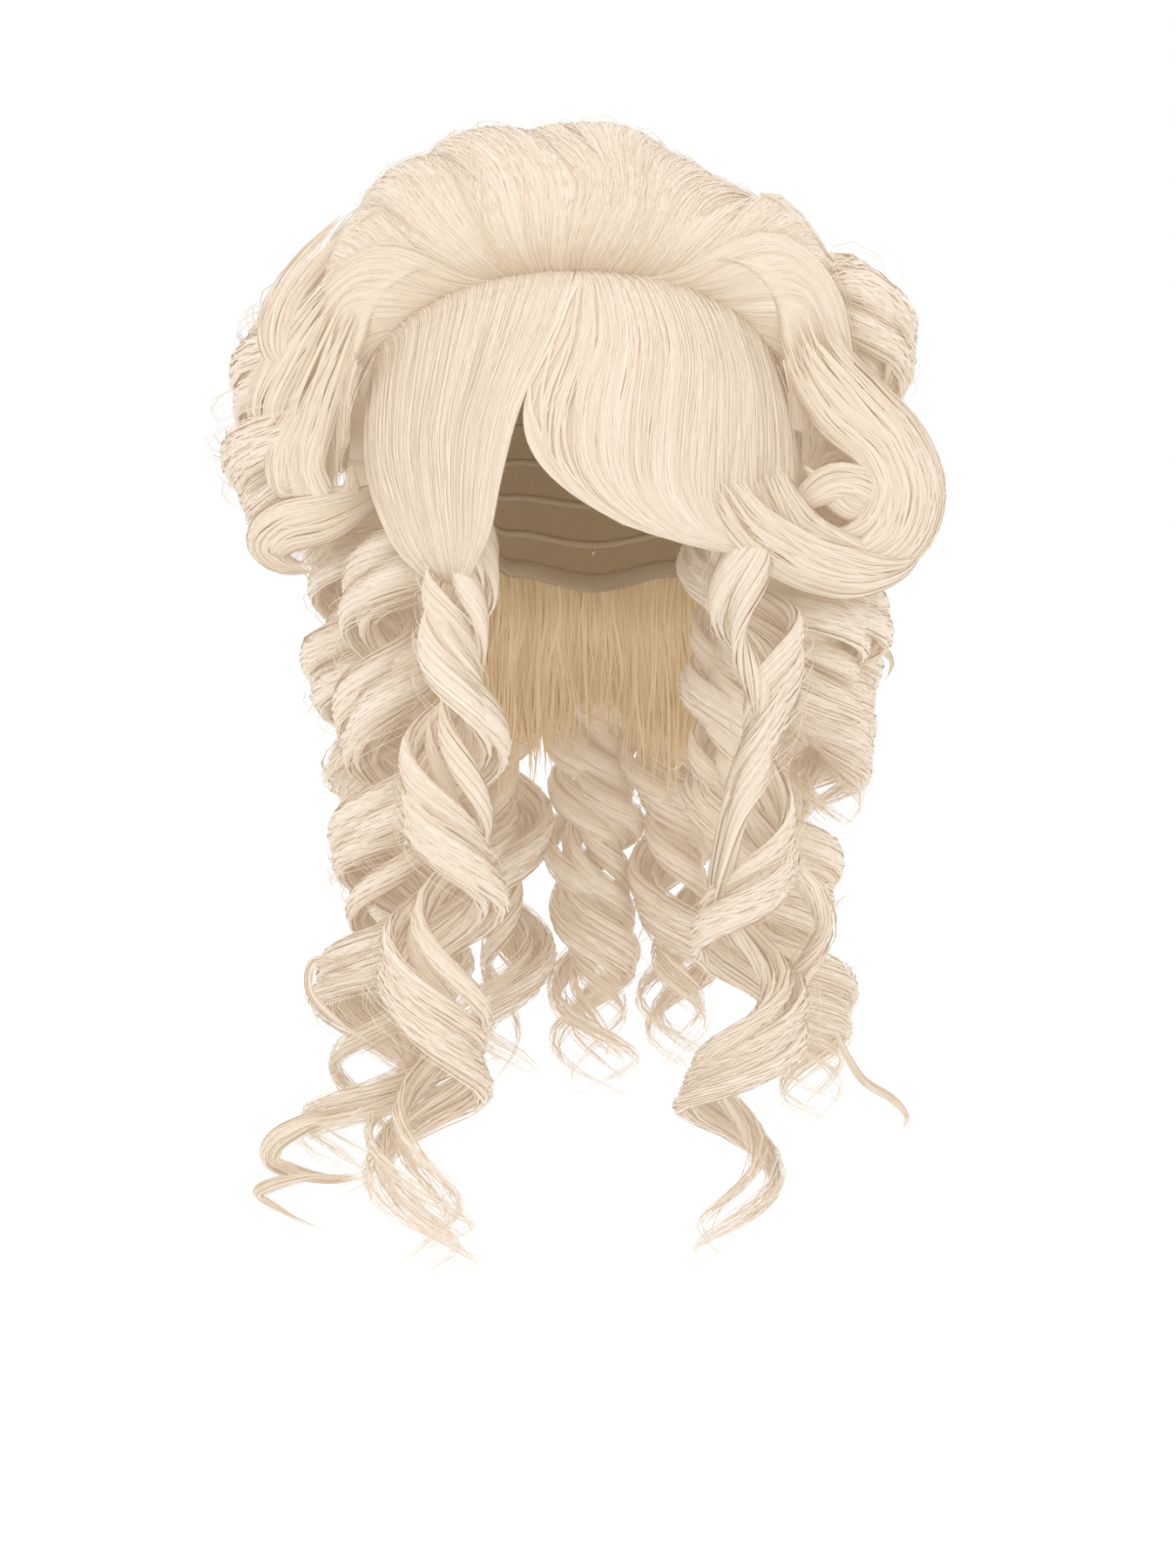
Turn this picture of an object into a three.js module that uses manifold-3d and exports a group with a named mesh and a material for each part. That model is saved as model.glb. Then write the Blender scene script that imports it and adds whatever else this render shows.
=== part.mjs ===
// A tall powdered wig: a fitted cap that carries a swept-back crown, a parted fringe, temple sweeps, a fall of
// inner hair round the neck, and ringlets at the sides, front and back.
// Millimetres, +Z up. The front faces -Y, and +X is to the right of someone who looks at that front.
// The origin is the point inside the top of the cap where the crown of the head touches it.
import * as THREE from "three";
import { mergeVertices } from "three/addons/utils/BufferGeometryUtils.js";
import Module from "manifold-3d";

const wasm = await Module();
wasm.setup();

// The head inside the cap
const headWidth = 148;
const headDepth = 192;
const crownToEar = 92;
const earToChin = 140;

// The cap, with how far down each stretch of its edge comes
const capWall = 2;
const capFrontDrop = 46;
const capTempleDrop = 76;
const capEarDrop = 114;
const capNapeDrop = 160;

// The crown of hair
const crownRise = 78;
const crownHalfWidth = 142;
const crownBackReach = 130;
const crownOffset = -10;
const crownSquareness = 2.5;
const crownTuck = 0.18;
const lobeDepth = 6;

// The fringe and the temple sweeps
const fringeHalfWidth = 110;
const fringeReach = 119;
const fringeDrop = 142;
const fringeWall = 9;
const fringePartGap = 0.45;
const fringeRootSpan = 86;
const sweepWidth = 42;
const sweepThickness = 9;

// The inner fall of hair behind the neck, and how far it laps over the cap's edge
const fallHalfWidth = 80;
const fallReach = 98;
const fallDrop = 268;
const fallWall = 8;
const fallLap = 10;
const fallHalfSpan = 88;
const fallScallop = 0.05;
const fallLocks = 7;

// The ringlets
const sideReach = 180;
const backReach = 150;
const hairLength = 480;
const coilRadius = 26;
const bandWidth = 34;
const bandThickness = 7;

// The room left between neighbouring pieces
const seatGap = 0.3;

const degrees = Math.PI / 180;
const mix = (a, b, t) => a + (b - a) * t;
const clamp = (value, low, high) => Math.min(high, Math.max(low, value));

// A smooth step from 0 to 1 as t goes from a to b.
function ramp(t, a, b) {
  const share = clamp((t - a) / (b - a), 0, 1);
  return share * share * (3 - 2 * share);
}

// The value of one named column of a table, read smoothly at a share of the way down its rows.
function column(rows, name, share) {
  const at = clamp(share, 0, 1) * (rows.length - 1);
  const row = Math.min(Math.floor(at), rows.length - 2);
  const t = at - row;
  const value = (n) => rows[clamp(n, 0, rows.length - 1)][name];
  const [p, a, b, q] = [value(row - 1), value(row), value(row + 1), value(row + 2)];
  const [leave, arrive] = [(b - p) / 2, (q - a) / 2];
  return a + t * (leave + t * (3 * (b - a) - 2 * leave - arrive + t * (2 * (a - b) + leave + arrive)));
}

// A closed solid from an outer and an inner grid of points with the same rows and columns.
function wall(outer, inner) {
  const rows = outer.length;
  const columns = outer[0].length;
  const points = [...outer.flat(), ...inner.flat()];
  const out = (r, c) => r * columns + c;
  const back = (r, c) => (rows + r) * columns + c;
  const faces = [];
  const quad = (a, b, c, d) => faces.push(a, b, c, a, c, d);
  for (let r = 0; r < rows - 1; r++) {
    for (let c = 0; c < columns - 1; c++) {
      quad(out(r, c), out(r, c + 1), out(r + 1, c + 1), out(r + 1, c));
      quad(back(r, c), back(r + 1, c), back(r + 1, c + 1), back(r, c + 1));
    }
    quad(out(r, 0), out(r + 1, 0), back(r + 1, 0), back(r, 0));
    quad(out(r, columns - 1), back(r, columns - 1), back(r + 1, columns - 1), out(r + 1, columns - 1));
  }
  for (let c = 0; c < columns - 1; c++) {
    quad(out(0, c), back(0, c), back(0, c + 1), out(0, c + 1));
    quad(out(rows - 1, c), out(rows - 1, c + 1), back(rows - 1, c + 1), back(rows - 1, c));
  }
  return shell(points, faces);
}

// A closed solid from rings of points, each ring with the same count, with flat ends. leans says for each strip
// along the rings which way its faces are split, so that the two sides of a thin band bend alike.
function loft(rings, leans) {
  const around = rings[0].length;
  const faces = [];
  for (let r = 0; r < rings.length - 1; r++) {
    for (let c = 0; c < around; c++) {
      const next = (c + 1) % around;
      const [a, b] = [r * around + c, r * around + next];
      if (leans[c]) faces.push(a, b, b + around, a, b + around, a + around);
      else faces.push(a, b, a + around, b, b + around, a + around);
    }
  }
  const last = (rings.length - 1) * around;
  for (let c = 1; c < around - 1; c++) {
    faces.push(0, c + 1, c);
    faces.push(last, last + c, last + c + 1);
  }
  return shell(rings.flat(), faces);
}

function shell(points, faces) {
  const geometry = new THREE.BufferGeometry();
  const positions = points.flatMap((p) => [p.x, p.y, p.z]);
  geometry.setAttribute("position", new THREE.Float32BufferAttribute(positions, 3));
  geometry.setIndex(faces);
  return mergeVertices(geometry, 1e-4);
}

function solidOf(geometry) {
  const made = new wasm.Manifold(
    new wasm.Mesh({
      numProp: 3,
      vertProperties: geometry.attributes.position.array,
      triVerts: new Uint32Array(geometry.index.array),
    }),
  );
  if (made.volume() > 0) return made;
  const turned = geometry.clone();
  const index = turned.index.array;
  for (let i = 0; i < index.length; i += 3) [index[i + 1], index[i + 2]] = [index[i + 2], index[i + 1]];
  return solidOf(turned);
}

function geometryOf(solid) {
  const mesh = solid.getMesh();
  const geometry = new THREE.BufferGeometry();
  geometry.setAttribute("position", new THREE.BufferAttribute(mesh.vertProperties, 3));
  geometry.setIndex(new THREE.BufferAttribute(mesh.triVerts, 1));
  return geometry;
}

// The same solid with every face pushed outwards by a distance.
function grown(solid, distance) {
  const geometry = geometryOf(solid);
  const { position } = geometry.attributes;
  const corners = geometry.index.array;
  const places = Array.from({ length: position.count }, (_, i) => new THREE.Vector3().fromBufferAttribute(position, i));
  const meeting = places.map(() => []);
  for (let i = 0; i < corners.length; i += 3) {
    const [a, b, c] = [corners[i], corners[i + 1], corners[i + 2]];
    const facing = places[b].clone().sub(places[a]).cross(places[c].clone().sub(places[a]));
    if (facing.length() < 1e-6) continue;
    facing.normalize();
    for (const corner of [a, b, c]) {
      if (meeting[corner].every((other) => other.dot(facing) < 0.98)) meeting[corner].push(facing);
    }
  }
  meeting.forEach((facings, i) => {
    const away = facings.reduce((sum, facing) => sum.add(facing), new THREE.Vector3()).normalize();
    const least = Math.min(1, ...facings.map((facing) => facing.dot(away)));
    places[i].addScaledVector(away, distance / Math.max(least, 0.3));
    position.setXYZ(i, places[i].x, places[i].y, places[i].z);
  });
  return solidOf(geometry);
}

// The head is half a wide ellipsoid above the ears and half a long one below them.
function headSurface(direction, off) {
  const height = direction.z > 0 ? crownToEar : earToChin;
  const scaled = new THREE.Vector3(
    direction.x / (headWidth / 2 + off),
    direction.y / (headDepth / 2 + off),
    direction.z / (height + off),
  );
  return direction.clone().divideScalar(scaled.length());
}

const headCentre = new THREE.Vector3(0, 0, -crownToEar);

// A point off the head by a distance, at a bearing from the front and a tilt down from the crown.
function onHead(bearing, tilt, off) {
  const flat = Math.sin(tilt);
  const direction = new THREE.Vector3(flat * Math.sin(bearing), -flat * Math.cos(bearing), Math.cos(tilt));
  return headSurface(direction, off).add(headCentre);
}

// The cap: a close shell of stretch net, open at the face and neck
const capEdge = [
  { bearing: 0, drop: capFrontDrop },
  { bearing: 30, drop: mix(capFrontDrop, capTempleDrop, 0.15) },
  { bearing: 60, drop: capTempleDrop },
  { bearing: 82, drop: capEarDrop },
  { bearing: 115, drop: capEarDrop },
  { bearing: 150, drop: mix(capEarDrop, capNapeDrop, 0.8) },
  { bearing: 180, drop: capNapeDrop },
];

function capEdgeDrop(bearing) {
  const off = Math.abs(bearing);
  const next = Math.max(1, capEdge.findIndex((row) => row.bearing >= off));
  const [a, b] = [capEdge[next - 1], capEdge[next]];
  return mix(a.drop, b.drop, ramp(off, a.bearing, b.bearing));
}

// How far the head's surface, pushed out by off, stands from the upright axis at a bearing and a height.
function levelRadius(bearing, z, off) {
  const above = z + crownToEar;
  const share = Math.sqrt(1 - (above / (above > 0 ? crownToEar : earToChin)) ** 2);
  return share * ovalRadius(bearing, headWidth / 2 + off, headDepth / 2 + off);
}

function ovalRadius(bearing, halfWidth, halfDepth) {
  return 1 / Math.hypot(Math.sin(bearing) / halfWidth, Math.cos(bearing) / halfDepth);
}

function capEdgeTilt(bearing) {
  const drop = capEdgeDrop(bearing);
  return Math.atan2(levelRadius(bearing * degrees, -drop, 0), crownToEar - drop);
}

function capSolid() {
  const columns = 24;
  const rings = 7;
  const grid = (off) => {
    const points = [onHead(0, 0, off)];
    for (let r = 1; r <= rings; r++) {
      for (let c = 0; c < columns; c++) {
        const bearing = mix(-180, 180, c / columns);
        points.push(onHead(bearing * degrees, (capEdgeTilt(bearing) * r) / rings, off));
      }
    }
    return points;
  };
  const outer = grid(capWall);
  const inner = grid(0);
  const faces = [];
  const at = (r, c) => (r === 0 ? 0 : 1 + (r - 1) * columns + (c % columns));
  for (let c = 0; c < columns; c++) {
    for (let r = 0; r < rings; r++) {
      const [a, b, d, e] = [at(r, c), at(r, c + 1), at(r + 1, c + 1), at(r + 1, c)];
      if (r > 0) faces.push(a, d, b, outer.length + a, outer.length + b, outer.length + d);
      faces.push(a, e, d, outer.length + a, outer.length + d, outer.length + e);
    }
    const [a, b] = [at(rings, c), at(rings, c + 1)];
    faces.push(a, outer.length + a, outer.length + b, a, outer.length + b, b);
  }
  return solidOf(shell([...outer, ...inner], faces));
}

// The crown from the parting over the top to the nape. back and up place its middle line, as shares of the back
// reach and of the height from the ears to the top. rootBack and rootUp place the line its sides come down to, and
// spread is its half width as a share of the crown's.
const crownLine = [
  { back: -0.29, up: 0.565, spread: 0.74, rootBack: -0.12, rootUp: 0.19 },
  { back: -0.32, up: 0.66, spread: 0.81, rootBack: -0.08, rootUp: 0.15 },
  { back: -0.3, up: 0.776, spread: 0.88, rootBack: -0.03, rootUp: 0.1 },
  { back: -0.2, up: 0.885, spread: 0.94, rootBack: 0.03, rootUp: 0.05 },
  { back: 0, up: 0.968, spread: 0.98, rootBack: 0.09, rootUp: 0 },
  { back: 0.27, up: 1, spread: 1, rootBack: 0.16, rootUp: -0.04 },
  { back: 0.58, up: 0.94, spread: 1, rootBack: 0.23, rootUp: -0.07 },
  { back: 0.83, up: 0.75, spread: 0.97, rootBack: 0.3, rootUp: -0.1 },
  { back: 0.96, up: 0.482, spread: 0.92, rootBack: 0.37, rootUp: -0.12 },
  { back: 1, up: 0.218, spread: 0.85, rootBack: 0.43, rootUp: -0.14 },
  { back: 0.98, up: -0.02, spread: 0.77, rootBack: 0.48, rootUp: -0.16 },
  { back: 0.92, up: -0.19, spread: 0.69, rootBack: 0.52, rootUp: -0.18 },
  { back: 0.84, up: -0.3, spread: 0.61, rootBack: 0.55, rootUp: -0.19 },
];

// A point of the crown's surface: along 0 is the parting and 1 the nape, and side is the angle across it.
function onCrown(along, side, lift = 0) {
  const read = (name) => column(crownLine, name, along);
  const angle = side * degrees;
  const power = 2 / mix(2, crownSquareness, ramp(along, 0, 0.25));
  const across = Math.sign(angle) * Math.abs(Math.sin(angle)) ** power;
  const upright = Math.cos(angle) ** power;
  const tuck = 1 - crownTuck * (1 - upright) ** 2 * ramp(along, 0.05, 0.4);
  const from = new THREE.Vector3(
    crownOffset * (1 - ramp(along, 0.5, 1)) + across * tuck * read("spread") * crownHalfWidth,
    mix(read("rootBack"), read("back"), upright) * crownBackReach,
    mix(read("rootUp"), read("up"), upright) * (crownToEar + crownRise),
  );
  return from.setLength(from.length() + lift).add(headCentre);
}

// The broad locks of the crown, side by side: the angles between which each one lies, and how far it stands up
// against its neighbours as a share of the groove between them.
const crownLocks = [
  { from: -88, to: -63, stand: 0 },
  { from: -63, to: -42, stand: 0.3 },
  { from: -42, to: -24, stand: 0 },
  { from: -24, to: -3, stand: 0.6 },
  { from: -3, to: 16, stand: 0.8 },
  { from: 16, to: 34, stand: -0.9 },
  { from: 34, to: 52, stand: 0.1 },
  { from: 52, to: 69, stand: -0.3 },
  { from: 69, to: 88, stand: 0 },
];

// The angle by which a lock keeps back from its edge, so that the gap to the next lock is open down at the cap.
function lockInset(along, side) {
  const ray = (angle) => onCrown(along, angle).sub(headCentre);
  return (1.2 * seatGap) / (ray(side + 0.5).angleTo(ray(side - 0.5)) * crownToEar);
}

function crownLock({ from, to, stand }) {
  const rows = 13;
  const columns = 5;
  const outer = [];
  const inner = [];
  const facetSlack = (headDepth / 2) * (1 - Math.cos(Math.PI / rows / 1.6));
  for (let r = 0; r < rows; r++) {
    const along = r / (rows - 1);
    const left = from + lockInset(along, from);
    const right = to - lockInset(along, to);
    outer.push([]);
    inner.push([]);
    for (let c = 0; c < columns; c++) {
      const share = c / (columns - 1);
      const side = mix(left, right, share);
      const bulge = Math.sin(Math.PI * share) ** 0.7 - 1 + stand;
      const point = onCrown(along, side, bulge * lobeDepth * ramp(along, 0.06, 0.4));
      const direction = point.clone().sub(headCentre).normalize();
      outer[r].push(point);
      inner[r].push(headSurface(direction, capWall + seatGap + facetSlack).add(headCentre));
    }
  }
  return solidOf(wall(outer, inner));
}

// The fringe's two halves, from the parting to the tips. Each row gives its reach forward and sideways, the
// bearings of its two edges and their drop, as shares of the fringe's sizes.
const fringeLeftRows = [
  { wide: 0.88, reach: 0.35, near: -1, far: 84, nearDrop: -0.03, farDrop: 0.3 },
  { wide: 0.94, reach: 0.62, near: 1, far: 76, nearDrop: 0, farDrop: 0.38 },
  { wide: 0.98, reach: 0.86, near: 6, far: 74, nearDrop: 0.16, farDrop: 0.5 },
  { wide: 1, reach: 0.98, near: 14, far: 71, nearDrop: 0.4, farDrop: 0.64 },
  { wide: 0.99, reach: 1, near: 19, far: 66, nearDrop: 0.62, farDrop: 0.78 },
  { wide: 0.95, reach: 0.98, near: 27, far: 60, nearDrop: 0.83, farDrop: 0.91 },
  { wide: 0.88, reach: 0.93, near: 38, far: 52, nearDrop: 0.98, farDrop: 1 },
];
const fringeRightRows = [
  { wide: 0.88, reach: 0.35, near: 1, far: 84, nearDrop: -0.03, farDrop: 0.3 },
  { wide: 0.94, reach: 0.62, near: -1, far: 76, nearDrop: 0, farDrop: 0.4 },
  { wide: 0.98, reach: 0.86, near: -6, far: 74, nearDrop: 0.16, farDrop: 0.52 },
  { wide: 1, reach: 0.98, near: -14, far: 72, nearDrop: 0.4, farDrop: 0.64 },
  { wide: 1, reach: 1, near: -8, far: 71, nearDrop: 0.6, farDrop: 0.74 },
  { wide: 0.99, reach: 0.99, near: 10, far: 71, nearDrop: 0.78, farDrop: 0.82 },
  { wide: 0.98, reach: 0.95, near: 36, far: 72, nearDrop: 0.89, farDrop: 0.88 },
];

function onFringe(rows, hand, along, share) {
  const read = (name) => column(rows, name, along);
  const bearing = mix(read("near") + fringePartGap, read("far"), share) * degrees;
  const bow = share ** mix(2, 1, ramp(along, 0, 0.5));
  const hung = new THREE.Vector3(
    crownOffset * (1 - along) + hand * read("wide") * fringeHalfWidth * Math.sin(bearing),
    -read("reach") * fringeReach * Math.cos(bearing),
    -mix(read("nearDrop"), read("farDrop"), bow) * fringeDrop,
  );
  const rooted = onCrown(0, hand * mix(fringePartGap, fringeRootSpan, share));
  rooted.y -= 5 * seatGap;
  return rooted.lerp(hung, ramp(along, 0, 0.2));
}

function fringeHalf(rows, hand) {
  const sections = 9;
  const columns = 9;
  const outer = [];
  const inner = [];
  for (let r = 0; r < sections; r++) {
    outer.push([]);
    inner.push([]);
    const along = r / (sections - 1);
    for (let c = 0; c < columns; c++) {
      const share = c / (columns - 1);
      const point = onFringe(rows, hand, along, share);
      const thin = mix(0.35, 1, Math.sin(Math.PI * clamp(share, 0.04, 0.96)) ** 0.6) * mix(1, 0.5, along);
      const hanging = new THREE.Vector3(-point.x, -point.y, 0).normalize();
      const rooted = headCentre.clone().sub(point).normalize();
      const inwards = rooted.lerp(hanging, ramp(along, 0, 0.4)).setLength(fringeWall * thin);
      outer[r].push(point);
      inner[r].push(point.clone().add(inwards));
    }
  }
  return solidOf(wall(outer, inner));
}

// A band of hair along a line of points. Each station has a place, the way its flat side faces, and its half width
// and half thickness. The section is a lens, flatter underneath, with soft shoulders where the band is broad.
const lens = [
  [1, 0],
  [0, 1],
  [-1, 0],
  [0, -1],
];
const broadLens = [
  [1, -0.3],
  [0.5, 0.7],
  [-0.5, 0.7],
  [-1, -0.3],
  [0, -1],
];

function band(stations, section) {
  const rings = stations.map(({ place, facing, halfWidth, halfThickness }, n) => {
    const before = stations[Math.max(n - 1, 0)].place;
    const after = stations[Math.min(n + 1, stations.length - 1)].place;
    const run = after.clone().sub(before).normalize();
    const out = facing.clone().addScaledVector(run, -facing.dot(run)).normalize();
    const side = run.clone().cross(out);
    const corner = ([w, t]) =>
      place.clone().addScaledVector(side, w * halfWidth).addScaledVector(out, t * halfThickness);
    return section.map(corner);
  });
  const leans = section.map(([w], c) => section[(c + 1) % section.length][0] < w);
  return solidOf(loft(rings, leans));
}

// A place given across, back and down, as shares of the side reach, the back reach and the hair's length.
const placeOf = ([across, back, down]) =>
  new THREE.Vector3(across * sideReach, back * backReach, -down * hairLength);

// The temple sweeps: broad bands that leave the parting, lie on the crown's front edge and turn down beside the
// fringe. side and along place each station on the crown, sink and forward take it off the crown as shares of the
// sweep's width, and width is a share of that width.
const sweeps = {
  sweep_right_front: [
    { side: 5, along: 0.03, sink: 0, forward: 0, width: 0.22 },
    { side: 24, along: 0.08, sink: 0, forward: 0, width: 0.55 },
    { side: 44, along: 0.13, sink: 0, forward: 0, width: 0.85 },
    { side: 62, along: 0.15, sink: 0, forward: 0, width: 1 },
    { side: 78, along: 0.13, sink: 0.1, forward: 0.15, width: 0.95 },
    { side: 88, along: 0.1, sink: 0.35, forward: 0.4, width: 0.8 },
    { side: 88, along: 0.03, sink: 0.9, forward: 0.8, width: 0.4 },
  ],
  sweep_right_upper: [
    { side: 14, along: 0.14, sink: 0, forward: 0, width: 0.2 },
    { side: 32, along: 0.24, sink: 0, forward: 0, width: 0.45 },
    { side: 50, along: 0.31, sink: 0, forward: 0, width: 0.62 },
    { side: 66, along: 0.33, sink: 0, forward: 0, width: 0.65 },
    { side: 79, along: 0.3, sink: 0, forward: 0, width: 0.6 },
    { side: 88, along: 0.25, sink: 0.15, forward: 0.2, width: 0.3 },
  ],
  sweep_left_front: [
    { side: -8, along: 0.03, sink: 0, forward: 0, width: 0.22 },
    { side: -26, along: 0.07, sink: 0, forward: 0, width: 0.5 },
    { side: -44, along: 0.11, sink: 0, forward: 0, width: 0.75 },
    { side: -62, along: 0.14, sink: 0, forward: 0, width: 0.9 },
    { side: -78, along: 0.14, sink: 0.1, forward: 0.1, width: 0.85 },
    { side: -88, along: 0.12, sink: 0.4, forward: 0.25, width: 0.65 },
    { side: -88, along: 0.08, sink: 1.1, forward: 0.5, width: 0.3 },
  ],
  sweep_left_upper: [
    { side: -18, along: 0.13, sink: 0, forward: 0, width: 0.2 },
    { side: -36, along: 0.22, sink: 0, forward: 0, width: 0.42 },
    { side: -53, along: 0.28, sink: 0, forward: 0, width: 0.6 },
    { side: -68, along: 0.31, sink: 0, forward: 0, width: 0.65 },
    { side: -80, along: 0.3, sink: 0, forward: 0, width: 0.6 },
    { side: -88, along: 0.26, sink: 0.15, forward: 0.2, width: 0.3 },
  ],
};

function crownFacing(along, side) {
  const back = onCrown(along + 0.02, side).sub(onCrown(along - 0.02, side));
  return onCrown(along, side + 2).sub(onCrown(along, side - 2)).cross(back).normalize();
}

function sweep(rows) {
  const count = 13;
  const stations = [];
  for (let n = 0; n <= count; n++) {
    const share = n / count;
    const read = (name) => column(rows, name, share);
    const swell = read("width");
    const halfThickness = (sweepThickness / 2) * mix(0.5, 1, swell);
    const [along, side] = [clamp(read("along"), 0.02, 1), clamp(read("side"), -88, 88)];
    const facing = crownFacing(along, clamp(side, -84, 84));
    const place = onCrown(along, side).addScaledVector(facing, halfThickness + 2 * seatGap);
    place.z -= read("sink") * sweepWidth;
    place.y -= read("forward") * sweepWidth;
    stations.push({ place, facing, halfWidth: (sweepWidth / 2) * swell, halfThickness });
  }
  return band(stations, broadLens);
}

// The inner fall: a curtain of straighter hair sewn outside the cap's lower edge, that hangs round the neck.
function onFall(along, bearing, inwards) {
  const turn = bearing * degrees;
  const end = -fallDrop * (1 - fallScallop * (1 - Math.cos(fallLocks * turn)));
  const z = mix(fallLap - capEdgeDrop(bearing), end, along);
  const sewn = levelRadius(turn, Math.max(z, -fallDrop / 1.5), capWall + 5 * seatGap + fallWall);
  const radius = mix(sewn, ovalRadius(turn, fallHalfWidth, fallReach), ramp(along, 0, 0.5)) - inwards;
  return new THREE.Vector3(radius * Math.sin(turn), -radius * Math.cos(turn), z);
}

function innerFall() {
  const rows = 6;
  const columns = 17;
  const outer = [];
  const inner = [];
  for (let r = 0; r < rows; r++) {
    outer.push([]);
    inner.push([]);
    for (let c = 0; c < columns; c++) {
      const along = r / (rows - 1);
      const bearing = mix(-fallHalfSpan, fallHalfSpan, c / (columns - 1));
      const behind = bearing + (bearing < 0 ? 180 : -180);
      const wrapped = bearing === 0 ? 180 : behind;
      outer[r].push(onFall(along, wrapped, 0));
      inner[r].push(onFall(along, wrapped, fallWall * mix(1, 0.5, along)));
    }
  }
  return solidOf(wall(outer, inner));
}

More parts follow.
